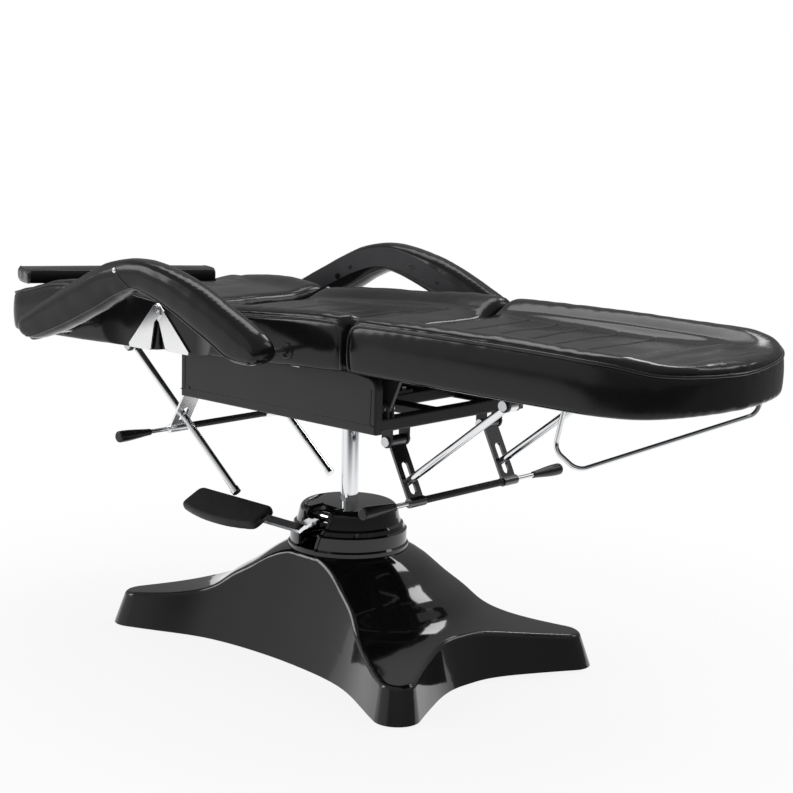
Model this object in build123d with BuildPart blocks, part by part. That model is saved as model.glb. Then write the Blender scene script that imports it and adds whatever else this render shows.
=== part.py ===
from build123d import *
from math import atan2, cos, degrees, hypot, radians, sin
import os

os.makedirs("parts", exist_ok=True)

# Frame: millimetres, Z up, X towards the foot end, origin on the floor under the column

# Shared fits and sheet sizes
overrun = 5.0
running_gap = 0.05
joint_gap = 0.5
soft_gap = 0.4
sheet = 2.5
board_thickness = 15.0
board_half_width = 250.0
bed_height = 644.6
lock_spacing = 145.0
rod_radius = 8.0


def raised(points):
    """The points with their last coordinate, the height over the bed's underside, counted from the floor."""
    return [(*point[:-1], round(bed_height + point[-1], 3)) for point in points]


# Moulded base
base_turn = -2.6
base_wall = 4.0
base_bottom = 2.0
base_loft_height = 240.0
base_lean = 70.0
foot_corner_share = 0.5
foot_centre_x = 415.0
foot_centre_y = 258.0
foot_radius = 47.0
foot_arc_start = -30.0
foot_arc_middle = 42.0
foot_arc_end = 114.0
waist_y_points = [(210.0, 217.0), (80.0, 197.0), (0.0, 194.0)]
waist_x_points = [(408.0, 145.0), (382.0, 88.0), (369.0, 35.0), (368.0, 0.0)]
base_top_profile = [(132.0, 223.5), (170.0, 201.5), (212.0, 171.0), (254.0, 144.5),
                    (290.0, 117.0), (333.0, 99.0), (377.0, 89.0), (421.0, 82.5), (464.0, 78.0), (540.0, 70.0)]
base_crest_round = 12.0
base_cut_radius = 100.0

# Steel base frame and floor pads
frame_arm_width = 50.0
frame_arm_height = 26.0
frame_bottom = 12.0
frame_plate_radius = 95.0
frame_foot_radius = 60.0
pad_x = 400.0
pad_y = 240.0
pad_radius = 24.0
pad_neck_radius = 12.0
pad_foot_height = 8.0

# Pump cover
cover_wall = 4.0
cover_foot = 224.0
cover_tiers = [(130.0, 232.0), (126.0, 236.0), (126.0, 263.0), (121.0, 267.0), (118.0, 275.0),
               (112.0, 279.0), (109.0, 290.0), (106.0, 305.0)]
cover_dome_edge = (88.0, 317.0)
cover_dome_bulge = (100.0, 313.5)
cover_dome_top = 320.0
slot_outline = [(-13.0, 330.0), (43.0, 330.0), (43.0, 288.0), (27.0, 236.0), (-20.0, 236.0)]
slot_rim_width = 6.0
slot_rim_height = 3.0
slot_corner = 5.0
slot_depth_start = 62.0

# Pump, column and swivel
column_radius = 19.0
column_bottom = 70.0
cylinder_radius = 48.0
cylinder_top = 312.0
cylinder_flange_radius = 78.0
cylinder_flange_height = 10.0
cylinder_bolt_circle = 66.0
cylinder_bolt_radius = 5.0
bolt_head_radius = 8.0
bolt_head_height = 6.0
hub_radius = 32.0
hub_bottom = bed_height - 106.6

# Foot pedal
pedal_pin_y = -78.0
pedal_pin_z = 296.0
pedal_pin_radius = 6.0
pedal_eye_radius = 12.0
pedal_arm_start = 2.0
pedal_arm_width = 26.0
pedal_ear_thickness = 6.0
pedal_tilt = 27.0
pedal_bar_y = -160.0
pedal_bar_z = 286.0
pedal_bar_width = 20.0
pedal_bar_thickness = 8.0
pedal_bar_end = -300.0
shoe_inner = -92.0
shoe_outer = -338.0
shoe_half_width = 33.0
shoe_bulge = 16.0
shoe_thickness = 21.0
shoe_round = 6.0
shoe_corner = 14.0
shoe_groove_radius = 1.2
shoe_groove_pitch = 25.0
shoe_groove_count = 8

# Seat frame
panel_outer = 231.5
panel_flange = 20.0
panel_half_length = 285.0
panel_bottom = bed_height - 109.6
panel_corner = 25.0
panel_front_top = bed_height + 0.4
panel_small_corner = 8.0
seat_plane_slope = 0.0449
tube_size = 27.0
cross_member_x = 98.0
cross_member_width = 30.0
mount_plate_thickness = 6.0
mount_plate_half_y = 75.0
beam_half_width = 24.0
beam_height = 16.0

# Leg rest and its hinge
leg_hinge_x = 268.0
leg_hinge_z = bed_height - 61.6
leg_plane_height = bed_height + 10.4
leg_rail_y = board_half_width - 68.0
leg_rail_width = 25.0
leg_rail_height = 12.0
leg_rail_start = 262.0
leg_rail_end = 770.0
leg_leaf_thickness = 8.0
hinge_pin_radius = 6.0
hinge_eye_radius = 13.0
hinge_ear_thickness = 5.0
hinge_head_radius = 10.0
hinge_head_height = 5.0
leg_cross_bars = [(547.0, 24.0), (740.0, 24.0)]

# Back hinge plates
back_hinge_x = -332.0
back_hinge_z = bed_height + 74.4
leaf_inner = board_half_width + 5.0
leaf_thickness = 3.3
leaf_gap = 0.4
leaf_spacer_radius = 9.0
seat_leaf_points = raised([(-343.5, 71.4), (-340.0, 82.4), (-332.0, 86.9), (-324.0, 82.4), (-231.0, -7.6),
                           (-233.0, -13.6), (-300.0, -13.6), (-306.0, -8.6), (-326.0, 45.4),
                           (-343.0, 61.4)])
back_leaf_points = raised([(-320.5, 71.4), (-324.0, 82.4), (-332.0, 86.9), (-340.0, 82.4), (-422.0, -8.6),
                           (-420.0, -16.6), (-354.0, -16.6), (-349.0, -10.6), (-338.0, 45.4),
                           (-321.0, 61.4)])
leaf_corner = 4.0
back_screw_head_radius = 8.0
back_screw_head_height = 3.0
back_screw_radius = 5.0

# Friction locks: hinge pin, lever bar, rod crossing and rod ends, all in the X Z plane
leg_lock_pin = (262.0, bed_height - 132.6)
leg_lock_lever = (321.0, bed_height - 247.6)
leg_rod_top = (547.0, bed_height - 20.6)
leg_rod_low = (290.0, bed_height - 217.2)
leg_slot = (46.0, 114.0)
back_lock_pin = (-314.0, bed_height - 66.6)
back_lock_lever = (-396.0, bed_height - 207.6)
back_rod_top = (-545.0, bed_height - 38.6)
back_rod_low = (-208.0, bed_height - 313.6)
back_slot = (104.0, 143.0)
lock_plate_thickness = 5.0
leg_plate_width = 44.0
back_plate_width = 50.0
slot_half_width = 8.8
lock_eye_radius = 11.0
lock_pin_radius = 6.0
lock_end_margin = 8.0
lock_ear_thickness = 5.0
lock_ear_half = 13.0
lever_radius = 5.0
sleeve_radius = 7.5
rod_eye_radius = 13.0
rod_eye_half = 11.0
rod_pin_radius = 6.0
rod_cap_length = 12.0
rod_cap_radius = 10.0
rod_ear_thickness = 6.0

# Loop bar under the leg rest
loop_radius = 4.5
loop_points = raised([(721.0, -206.0, 11.4), (702.0, -206.0, -72.6), (752.0, -202.0, -103.6),
                      (867.0, 202.0, -32.6), (876.0, 206.0, 11.4)])
loop_bend = 24.0
loop_foot_radius = 9.0
loop_foot_height = 5.0

# Cushions: stations give x, side height, dish and overhang beyond the board
cushion_side_bulge = 5.0
cushion_side_share = 0.45
cushion_shoulder_share = 0.80
cushion_shoulder_inset = 4.0
cushion_crest_inset = 42.0
cushion_round_share = 0.55
channel_radius = 3.5
channel_end_share = 1.5
seat_stations = [(-320.0, 96.0, 12.0, 12.0), (-235.0, 107.0, 20.0, 18.0), (-80.0, 112.0, 26.0, 19.0),
                 (80.0, 116.0, 24.0, 19.0), (228.0, 110.0, 14.0, 16.0)]
seat_channels = [-190.0, -130.0, -70.0, -10.0, 50.0, 110.0]
leg_stations = [(237.0, 106.0, 14.0, 16.0), (340.0, 112.0, 24.0, 19.0), (560.0, 114.0, 28.0, 19.0),
                (780.0, 112.0, 22.0, 16.0), (870.0, 104.0, 12.0, 12.0), (976.0, 76.0, 4.0, 12.0)]
leg_channels = [350.0, 420.0, 490.0, 560.0, 630.0, 700.0]
back_stations = [(-876.0, 97.0, 6.0, 6.0), (-815.0, 101.0, 10.0, 14.0), (-640.0, 130.0, 26.0, 18.0),
                 (-480.0, 121.0, 18.0, 18.0), (-400.0, 111.0, 12.0, 16.0), (-330.0, 96.0, 8.0, 12.0)]
leg_plan_shares = [(804.0, 1.088), (843.0, 1.052), (888.0, 0.968), (917.0, 0.83), (939.0, 0.61),
                   (955.0, 0.325), (961.0, 0.0)]
back_plan_shares = [(-800.0, 1.088), (-838.0, 1.056), (-862.0, 0.96), (-872.0, 0.8), (-876.0, 0.0)]
seat_end_corner = 16.0
back_plane_height = bed_height - 18.6
back_plane_slope = 0.0252
back_plane_x = -425.0
seat_board_ends = (-300.0, 215.0)
leg_board_ends = (252.0, 830.0)
back_board_ends = (-845.0, -352.0)
board_corner = 40.0
side_pocket_x = (-436.0, -220.0)
side_pocket_z = (bed_height - 44.6, bed_height + 93.4)

# Head pillow
pillow_turn = -19.0
pillow_roll = -0.3
pillow_centre = (-771.5, -12.6, bed_height + 88.4)
pillow_size = (88.0, 460.0, 34.0)
pillow_round = 11.0

# Armrests: outline points are x, z
arm_plane = board_half_width + 130.0
arm_width = 62.0
arm_pivot = (78.0, bed_height + 36.4)
arm_stud = (-610.0, bed_height + 1.4)
arm_top_points = raised([(134.0, 63.4), (118.0, 82.4), (15.0, 131.4), (-70.0, 167.4), (-164.0, 191.4),
                         (-242.0, 197.4), (-310.0, 188.4), (-372.0, 167.4), (-509.0, 101.4), (-630.0, 38.4)])
arm_rear_points = raised([(-650.0, 14.4), (-643.0, -8.6), (-610.0, -18.6), (-560.0, -2.6)])
arm_low_points = raised([(-474.0, 31.4), (-359.0, 83.4), (-290.0, 117.4), (-241.0, 129.4), (-195.0, 119.4),
                         (-118.0, 91.4), (2.0, 43.4), (44.0, 15.4)])
arm_front_points = raised([(84.0, 7.4), (118.0, 25.4)])
arm_round = 14.0
arm_core_thickness = 12.0
arm_core_half = 22.0
arm_core_path = raised([(-632.0, 3.4), (-509.0, 55.4), (-372.0, 123.4), (-242.0, 159.4), (-70.0, 115.4),
                        (92.0, 45.4)])
stud_radius = 7.0
stud_slot_half = 8.6
stud_travel = (650.0, 704.0)
stud_plate_thickness = 5.0
stud_plate_half = 20.0
stud_cap_height = 3.0

# Lever grips: y positions along each bar
leg_grip_near = (-300.0, -209.0)
leg_grip_far = (226.0, 318.0)
back_grip_near = (-313.0, -224.0)
grip_thick = 12.5
grip_thin = 7.0
grip_round = 4.0
plate_collar = 4.0


def seat_level(x):
    return bed_height + seat_plane_slope * x


def back_level(x):
    return back_plane_height + back_plane_slope * (x - back_plane_x)


def leg_level(x):
    return leg_plane_height


turn_x = Vector(cos(radians(base_turn)), sin(radians(base_turn)), 0)
turn_y = Vector(-sin(radians(base_turn)), cos(radians(base_turn)), 0)
base_plan = Plane(origin=(0, 0, 0), x_dir=turn_x, z_dir=(0, 0, 1))
base_side = Plane(origin=(0, 0, 0), x_dir=turn_x, z_dir=turn_y * -1)
base_end = Plane(origin=(0, 0, 0), x_dir=turn_y, z_dir=turn_x)


def arc_point(lean, angle):
    centre = (foot_centre_x - lean * foot_corner_share, foot_centre_y - lean * foot_corner_share)
    radius = foot_radius - lean * foot_corner_share
    return (centre[0] + radius * cos(radians(angle)), centre[1] + radius * sin(radians(angle)))


def draw_base_outline(lean):
    """Four rounded feet joined by concave waists, all moved in by the lean of the wall."""
    start = arc_point(lean, foot_arc_start)
    middle = arc_point(lean, foot_arc_middle)
    end = arc_point(lean, foot_arc_end)
    side = [(x, y - lean) for x, y in waist_y_points]
    front = [(x - lean, y) for x, y in waist_x_points]
    side_tangent = (-sin(radians(foot_arc_end)), cos(radians(foot_arc_end)))
    front_tangent = (-sin(radians(foot_arc_start)), cos(radians(foot_arc_start)))
    for sx, sy in [(1, 1), (-1, 1), (-1, -1), (1, -1)]:
        ThreePointArc((sx * start[0], sy * start[1]), (sx * middle[0], sy * middle[1]), (sx * end[0], sy * end[1]))
    for sy in (1, -1):
        points = [end] + side + [(-x, y) for x, y in reversed(side[:-1])] + [(-end[0], end[1])]
        Spline([(x, sy * y) for x, y in points],
               tangents=[(side_tangent[0], sy * side_tangent[1]), (side_tangent[0], -sy * side_tangent[1])])
    for sx in (1, -1):
        points = [start] + front + [(x, -y) for x, y in reversed(front[:-1])] + [(start[0], -start[1])]
        Spline([(sx * x, y) for x, y in points],
               tangents=[(-sx * front_tangent[0], -front_tangent[1]), (sx * front_tangent[0], -front_tangent[1])])


def base_block(inset, drop):
    """The solid under the flowing top: leaning walls cut by a turned top surface."""
    with BuildPart() as block:
        with BuildSketch(base_plan.offset(base_bottom)):
            with BuildLine():
                draw_base_outline(inset)
            make_face()
        with BuildSketch(base_plan.offset(base_loft_height)):
            with BuildLine():
                draw_base_outline(inset + base_lean)
            make_face()
        loft(ruled=True)
        with BuildSketch(Plane.XZ):
            with BuildLine():
                top = [(r, z - drop) for r, z in base_top_profile]
                Line((0, 0), (0, top[0][1]))
                Line((0, top[0][1]), top[0])
                Spline(top)
                Line(top[-1], (top[-1][0], 0))
                Line((top[-1][0], 0), (0, 0))
            make_face()
        revolve(axis=Axis.Z, mode=Mode.INTERSECT)
    return block.part


# Moulded base cover, hollow underneath
with BuildPart() as base_cover:
    add(base_block(0.0, 0.0))
    crest = [e for e in base_cover.edges() if e.center().Z > foot_radius and e.length > foot_radius / 2]
    crest = [e for e in crest if hypot(e.center().X, e.center().Y) > base_cut_radius]
    try:
        fillet(crest, radius=base_crest_round)
    except Exception:
        chamfer(crest, length=base_wall)
    add(base_block(base_wall, base_wall), mode=Mode.SUBTRACT)
    with BuildSketch(base_plan):
        Circle(base_cut_radius)
    extrude(amount=base_loft_height + overrun, mode=Mode.SUBTRACT)

# Steel cross that carries the column and the four floor pads
arm_length = hypot(pad_x, pad_y)
arm_angle = degrees(atan2(pad_y, pad_x))
with BuildPart() as base_frame:
    with BuildSketch(base_plan.offset(frame_bottom)):
        for angle in (arm_angle, -arm_angle):
            SlotCenterToCenter(2 * arm_length, frame_arm_width, rotation=angle)
        Circle(frame_plate_radius)
    extrude(amount=frame_arm_height)
    fillet(base_frame.faces().sort_by(Axis.Z)[-1].edges(), radius=shoe_round)
    with BuildSketch(base_plan.offset(frame_bottom)):
        with PolarLocations(cylinder_bolt_circle, 4, start_angle=45):
            Circle(cylinder_bolt_radius)
        for sx in (1, -1):
            for sy in (1, -1):
                with Locations((sx * pad_x, sy * pad_y)):
                    Circle(pad_neck_radius)
    extrude(amount=frame_arm_height, mode=Mode.SUBTRACT)
    with BuildSketch(base_plan):
        Circle(frame_foot_radius)
    extrude(amount=frame_bottom)

with BuildPart() as floor_pads:
    for sx in (1, -1):
        for sy in (1, -1):
            with BuildSketch(base_plan):
                with Locations((sx * pad_x, sy * pad_y)):
                    Circle(pad_radius)
            extrude(amount=pad_foot_height, taper=base_crest_round)
            with BuildSketch(base_plan.offset(pad_foot_height)):
                with Locations((sx * pad_x, sy * pad_y)):
                    Circle(pad_neck_radius + base_wall)
            extrude(amount=frame_bottom - pad_foot_height)
            with BuildSketch(base_plan.offset(frame_bottom)):
                with Locations((sx * pad_x, sy * pad_y)):
                    Circle(pad_neck_radius)
            extrude(amount=frame_arm_height)

# Pump cylinder with flange, bore and the pedal's bearing ears
cylinder_base = frame_bottom + frame_arm_height
with BuildPart() as pump_cylinder:
    with BuildSketch(base_plan.offset(cylinder_base)):
        Circle(cylinder_flange_radius)
    extrude(amount=cylinder_flange_height)
    with BuildSketch(base_plan.offset(cylinder_base)):
        Circle(cylinder_radius)
    extrude(amount=cylinder_top - cylinder_base)
    ear_inner = pedal_arm_start - joint_gap
    ear_outer = pedal_arm_start + pedal_arm_width + joint_gap + pedal_ear_thickness
    for ear_x in (ear_inner - pedal_ear_thickness, ear_outer - pedal_ear_thickness):
        with BuildSketch(base_end.offset(ear_x)):
            with BuildLine():
                Polyline([(0, pedal_pin_z - pedal_eye_radius), (pedal_pin_y, pedal_pin_z - pedal_eye_radius)])
                ThreePointArc((pedal_pin_y, pedal_pin_z - pedal_eye_radius),
                              (pedal_pin_y - pedal_eye_radius, pedal_pin_z),
                              (pedal_pin_y, pedal_pin_z + pedal_eye_radius))
                Polyline([(pedal_pin_y, pedal_pin_z + pedal_eye_radius), (0, pedal_pin_z + pedal_eye_radius),
                          (0, pedal_pin_z - pedal_eye_radius)])
            make_face()
        extrude(amount=pedal_ear_thickness)
    with BuildSketch(base_end.offset(ear_inner)):
        with Locations((pedal_pin_y, pedal_pin_z)):
            Circle(pedal_eye_radius + joint_gap * 2)
        with Locations((pedal_pin_y - pedal_eye_radius, pedal_pin_z)):
            Rectangle(pedal_eye_radius * 2, pedal_eye_radius * 2 + overrun)
    extrude(amount=pedal_arm_width + 2 * joint_gap, mode=Mode.SUBTRACT)
    with BuildSketch(base_end.offset(ear_inner - pedal_ear_thickness - overrun)):
        with Locations((pedal_pin_y, pedal_pin_z)):
            Circle(pedal_pin_radius)
    extrude(amount=pedal_arm_width + 2 * (pedal_ear_thickness + overrun + joint_gap), mode=Mode.SUBTRACT)
    with BuildSketch(Plane.XY.offset(column_bottom - overrun)):
        Circle(column_radius + running_gap)
    extrude(amount=cylinder_top, mode=Mode.SUBTRACT)
    with BuildSketch(base_plan.offset(cylinder_base)):
        with PolarLocations(cylinder_bolt_circle, 4, start_angle=45):
            Circle(cylinder_bolt_radius)
    extrude(amount=cylinder_flange_height, mode=Mode.SUBTRACT)

with BuildPart() as cylinder_bolts:
    with BuildSketch(base_plan.offset(frame_bottom)):
        with PolarLocations(cylinder_bolt_circle, 4, start_angle=45):
            Circle(cylinder_bolt_radius)
    extrude(amount=frame_arm_height + cylinder_flange_height)
    with BuildSketch(base_plan.offset(cylinder_base + cylinder_flange_height)):
        with PolarLocations(cylinder_bolt_circle, 4, start_angle=45):
            RegularPolygon(bolt_head_radius, 6)
    extrude(amount=bolt_head_height)

with BuildPart() as pedal_pin:
    with BuildSketch(base_end.offset(ear_inner - pedal_ear_thickness)):
        with Locations((pedal_pin_y, pedal_pin_z)):
            Circle(pedal_pin_radius)
    extrude(amount=pedal_arm_width + 2 * (pedal_ear_thickness + joint_gap))
    for pin_face in (pedal_pin.faces().sort_by(Axis.X)[0], pedal_pin.faces().sort_by(Axis.X)[-1]):
        with BuildSketch(Plane(pin_face)):
            Circle(pedal_pin_radius + sheet)
        extrude(amount=sheet)


def cover_profile(offset, foot):
    """Half section of the stepped cover, moved out by an offset."""
    Line((0, foot), (cover_tiers[0][0] + offset, foot))
    Polyline([(cover_tiers[0][0] + offset, foot)] + [(r + offset, z + offset) for r, z in cover_tiers])
    ThreePointArc((cover_tiers[-1][0] + offset, cover_tiers[-1][1] + offset),
                  (cover_dome_bulge[0] + offset, cover_dome_bulge[1] + offset),
                  (cover_dome_edge[0] + offset, cover_dome_edge[1] + offset))
    Polyline([(cover_dome_edge[0] + offset, cover_dome_edge[1] + offset), (column_radius, cover_dome_top + offset),
              (0, cover_dome_top + offset), (0, foot)])


# Stepped pump cover with the pedal slot
with BuildPart() as pump_cover:
    with BuildSketch(Plane.XZ):
        with BuildLine():
            cover_profile(0.0, cover_foot)
        make_face()
        with BuildLine():
            cover_profile(-cover_wall, cover_foot - overrun)
        make_face(mode=Mode.SUBTRACT)
        with Locations((0, cover_dome_top)):
            Rectangle(2 * (column_radius + joint_gap), 4 * cover_wall, mode=Mode.SUBTRACT)
        with Locations((-cover_tiers[0][0], cover_dome_top - cover_tiers[0][0])):
            Rectangle(2 * cover_tiers[0][0], 4 * cover_tiers[0][0], mode=Mode.SUBTRACT)
    revolve(axis=Axis.Z)
    with BuildSketch(base_side.offset(slot_depth_start)):
        Polygon(*slot_outline, align=None)
    extrude(amount=cover_tiers[0][0], mode=Mode.SUBTRACT)

# Raised rim that follows the steps around the slot
with BuildPart() as slot_rim:
    with BuildSketch(Plane.XZ):
        with BuildLine():
            cover_profile(slot_rim_height, cover_foot)
        make_face()
        with BuildLine():
            cover_profile(0.0, cover_foot)
        make_face(mode=Mode.SUBTRACT)
        with Locations((-cover_tiers[0][0], cover_dome_top)):
            Rectangle(2 * cover_tiers[0][0], 4 * cover_tiers[0][0], mode=Mode.SUBTRACT)
    revolve(axis=Axis.Z)
    with BuildSketch(base_side.offset(slot_depth_start)):
        Polygon(*slot_outline, align=None)
        offset(amount=slot_rim_width, kind=Kind.ARC)
        Polygon(*slot_outline, align=None, mode=Mode.SUBTRACT)
    extrude(amount=2 * cover_tiers[0][0], mode=Mode.INTERSECT)

# Pedal bar: eye on the pump pin, cranked arm, cross bar in the tread's tilt
shoe_plane = Plane(origin=base_plan.from_local_coords(Vector(0, pedal_bar_y, pedal_bar_z)), x_dir=turn_x,
                   z_dir=turn_y * -sin(radians(pedal_tilt)) + Vector(0, 0, cos(radians(pedal_tilt))))
with BuildPart() as pedal_bar:
    with BuildSketch(base_end.offset(pedal_arm_start)):
        half = pedal_bar_thickness / 2
        with BuildLine():
            Polyline([(pedal_pin_y, pedal_pin_z + half), (pedal_pin_y - 3 * pedal_eye_radius, pedal_pin_z + half),
                      (pedal_bar_y, pedal_bar_z + half), (pedal_bar_y - half, pedal_bar_z - half),
                      (pedal_pin_y - 3 * pedal_eye_radius, pedal_pin_z - half), (pedal_pin_y, pedal_pin_z - half),
                      (pedal_pin_y, pedal_pin_z + half)])
        make_face()
        with Locations((pedal_pin_y, pedal_pin_z)):
            Circle(pedal_eye_radius)
    extrude(amount=pedal_arm_width)
    with BuildSketch(shoe_plane.offset(-half)):
        with Locations(((pedal_bar_end + pedal_arm_start + pedal_arm_width) / 2, 0)):
            Rectangle(pedal_arm_start + pedal_arm_width - pedal_bar_end, pedal_bar_width)
    extrude(amount=pedal_bar_thickness)
    with BuildSketch(base_end.offset(pedal_arm_start - overrun)):
        with Locations((pedal_pin_y, pedal_pin_z)):
            Circle(pedal_pin_radius + running_gap)
    extrude(amount=pedal_arm_width + 2 * overrun, mode=Mode.SUBTRACT)

# Rubber tread around the bar
with BuildPart() as pedal_shoe:
    with BuildSketch(shoe_plane.offset(-shoe_thickness / 2)):
        with BuildLine():
            shoe_mid = (shoe_inner + shoe_outer) / 2
            Polyline([(shoe_inner, -shoe_half_width), (shoe_inner, shoe_half_width),
                      (shoe_outer, shoe_half_width), (shoe_outer, -shoe_half_width)])
            ThreePointArc((shoe_outer, -shoe_half_width), (shoe_mid, -shoe_half_width - shoe_bulge),
                          (shoe_inner, -shoe_half_width))
        shoe_face = make_face()
        fillet(shoe_face.vertices(), radius=shoe_corner)
    extrude(amount=shoe_thickness)
    rounded = [f for f in pedal_shoe.faces() if abs(f.normal_at().dot(shoe_plane.z_dir)) > 0.99]
    fillet([e for f in rounded for e in f.edges()], radius=shoe_round)
    for index in range(shoe_groove_count):
        groove_x = shoe_mid + (index - (shoe_groove_count - 1) / 2) * shoe_groove_pitch
        groove_plane = Plane(origin=shoe_plane.from_local_coords(Vector(groove_x, 0, shoe_thickness / 2)),
                             x_dir=turn_x, z_dir=shoe_plane.y_dir)
        with BuildSketch(groove_plane.offset(-shoe_half_width - shoe_bulge - overrun)):
            Circle(shoe_groove_radius)
        extrude(amount=2 * (shoe_half_width + shoe_bulge + overrun), mode=Mode.SUBTRACT)
    with BuildSketch(shoe_plane.offset(-half)):
        with Locations(((pedal_bar_end + shoe_inner + overrun) / 2, 0)):
            Rectangle(shoe_inner + overrun - pedal_bar_end, pedal_bar_width)
    extrude(amount=pedal_bar_thickness, mode=Mode.SUBTRACT)

# Lifting column and the swivelling mount
member_bottom = panel_bottom + sheet
member_top = member_bottom + tube_size
with BuildPart() as lift_column:
    with BuildSketch(Plane.XY.offset(column_bottom)):
        Circle(column_radius)
    extrude(amount=member_top - running_gap - column_bottom)
    chamfer(lift_column.edges().group_by(Axis.Z)[-1], length=sheet)

with BuildPart() as swivel_mount:
    with BuildSketch(Plane.XY.offset(hub_bottom)):
        Circle(hub_radius)
    extrude(amount=member_top - hub_bottom)
    with BuildSketch(Plane.XY.offset(member_top)):
        RectangleRounded(2 * cross_member_x + cross_member_width, 2 * mount_plate_half_y, panel_small_corner)
    extrude(amount=mount_plate_thickness)
    with BuildSketch(Plane.XY.offset(hub_bottom)):
        Circle(column_radius + running_gap)
    extrude(amount=member_top - hub_bottom, mode=Mode.SUBTRACT)

with BuildPart() as mount_bolts:
    with BuildSketch(Plane.XY.offset(member_top + mount_plate_thickness)):
        for sx in (1, -1):
            for sy in (1, -1):
                with Locations((sx * cross_member_x, sy * (mount_plate_half_y - panel_flange))):
                    RegularPolygon(bolt_head_radius, 6)
    extrude(amount=bolt_head_height)


def side_panel(side):
    """Pressed side panel: a shallow tray with its face outwards."""
    with BuildPart() as panel:
        with BuildSketch(Plane.XZ.offset(-side * panel_outer)):
            with BuildLine():
                Polyline([(-panel_half_length, panel_bottom), (panel_half_length, panel_bottom),
                          (panel_half_length, panel_front_top), (seat_board_ends[1], seat_level(seat_board_ends[1])),
                          (-panel_half_length, seat_level(-panel_half_length)),
                          (-panel_half_length, panel_bottom)])
            face = make_face()
            front_top = face.vertices().sort_by(Axis.X)[-2:].sort_by(Axis.Z)[-1]
            fillet(front_top, radius=panel_corner)
            rest = [v for v in face.vertices() if v.Z < panel_bottom + panel_flange or v.X < 0]
            fillet(rest, radius=panel_small_corner)
        extrude(amount=side * panel_flange)
        outer = panel.faces().sort_by(Axis.Y)[-1 if side > 0 else 0]
        fillet(outer.edges(), radius=plate_collar)
        inner_face = panel.faces().sort_by(Axis.Y)[0 if side > 0 else -1]
        with BuildSketch(Plane.XZ.offset(-side * (panel_outer - panel_flange))):
            add(Plane.XZ.offset(-side * (panel_outer - panel_flange)).to_local_coords(inner_face))
            offset(amount=-sheet, kind=Kind.INTERSECTION, mode=Mode.REPLACE)
        extrude(amount=-side * (panel_flange - sheet), mode=Mode.SUBTRACT)
    return panel.part


with BuildPart() as side_panel_near:
    add(side_panel(-1))
with BuildPart() as side_panel_far:
    add(side_panel(1))

inner_reach = panel_outer - sheet


def square_tube(x, name_height):
    """Square tube across the frame between the two panel faces."""
    with BuildPart() as tube:
        with BuildSketch(Plane.XZ.offset(-inner_reach)):
            with Locations((x, member_bottom + name_height / 2)):
                RectangleRounded(tube_size, name_height, plate_collar)
                RectangleRounded(tube_size - 2 * sheet, name_height - 2 * sheet, sheet, mode=Mode.SUBTRACT)
        extrude(amount=2 * inner_reach)
    return tube.part


tube_x = panel_half_length - sheet - tube_size / 2
with BuildPart() as front_tube:
    add(square_tube(tube_x, tube_size))
with BuildPart() as rear_tube:
    add(square_tube(-tube_x, tube_size))
with BuildPart() as cross_members:
    add(square_tube(cross_member_x, tube_size))
    add(square_tube(-cross_member_x, tube_size))
with BuildPart() as centre_beams:
    for sx in (1, -1):
        inner_x = cross_member_x + tube_size / 2
        outer_x = tube_x - tube_size / 2
        with BuildSketch(Plane.XY.offset(member_bottom)):
            with Locations((sx * (inner_x + outer_x) / 2, 0)):
                Rectangle(outer_x - inner_x, 2 * beam_half_width)
        extrude(amount=beam_height)
        with BuildSketch(Plane.XY.offset(member_bottom)):
            with Locations((sx * (inner_x + outer_x) / 2, 0)):
                Rectangle(outer_x - inner_x, 2 * (beam_half_width - sheet))
        extrude(amount=beam_height - sheet, mode=Mode.SUBTRACT)


def clevis(point, spacing, inner_half, thickness, eye, base_z, base_half, hole):
    """Pairs of ears on both sides, from a base line to a rounded eye around a pin."""
    with BuildPart() as ears:
        for sy in (1, -1):
            for along in (spacing - inner_half - thickness, spacing + inner_half):
                start = along if sy > 0 else -along - thickness
                with BuildSketch(Plane.XZ.offset(-start)):
                    with BuildLine():
                        Polyline([(point[0] - base_half, base_z), (point[0] + base_half, base_z)])
                        up = 1 if point[1] > base_z else -1
                        Line((point[0] + base_half, base_z), (point[0] + eye, point[1]))
                        ThreePointArc((point[0] + eye, point[1]), (point[0], point[1] + up * eye),
                                      (point[0] - eye, point[1]))
                        Line((point[0] - eye, point[1]), (point[0] - base_half, base_z))
                    make_face()
                    with Locations(point):
                        Circle(hole, mode=Mode.SUBTRACT)
                extrude(amount=-thickness)
    return ears.part


def pins(point, spacing, half, radius, head):
    """Headed pins across each pair of ears."""
    with BuildPart() as pair:
        for sy in (1, -1):
            with BuildSketch(Plane.XZ.offset(-(sy * spacing - half))):
                with Locations(point):
                    Circle(radius)
            extrude(amount=-2 * half)
            for end in (sy * spacing - half - hinge_head_height, sy * spacing + half):
                with BuildSketch(Plane.XZ.offset(-end)):
                    with Locations(point):
                        Circle(head)
                extrude(amount=-hinge_head_height)
    return pair.part


leg_hinge = (leg_hinge_x, leg_hinge_z)
leg_leaf_half = leg_leaf_thickness / 2 + joint_gap
leg_pin_half = leg_leaf_half + hinge_ear_thickness
with BuildPart() as leg_hinge_ears:
    add(clevis(leg_hinge, leg_rail_y, leg_leaf_half, hinge_ear_thickness, hinge_eye_radius, member_top,
               tube_size / 2, hinge_pin_radius))
with BuildPart() as leg_hinge_pins:
    add(pins(leg_hinge, leg_rail_y, leg_pin_half, hinge_pin_radius, hinge_head_radius))

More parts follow.
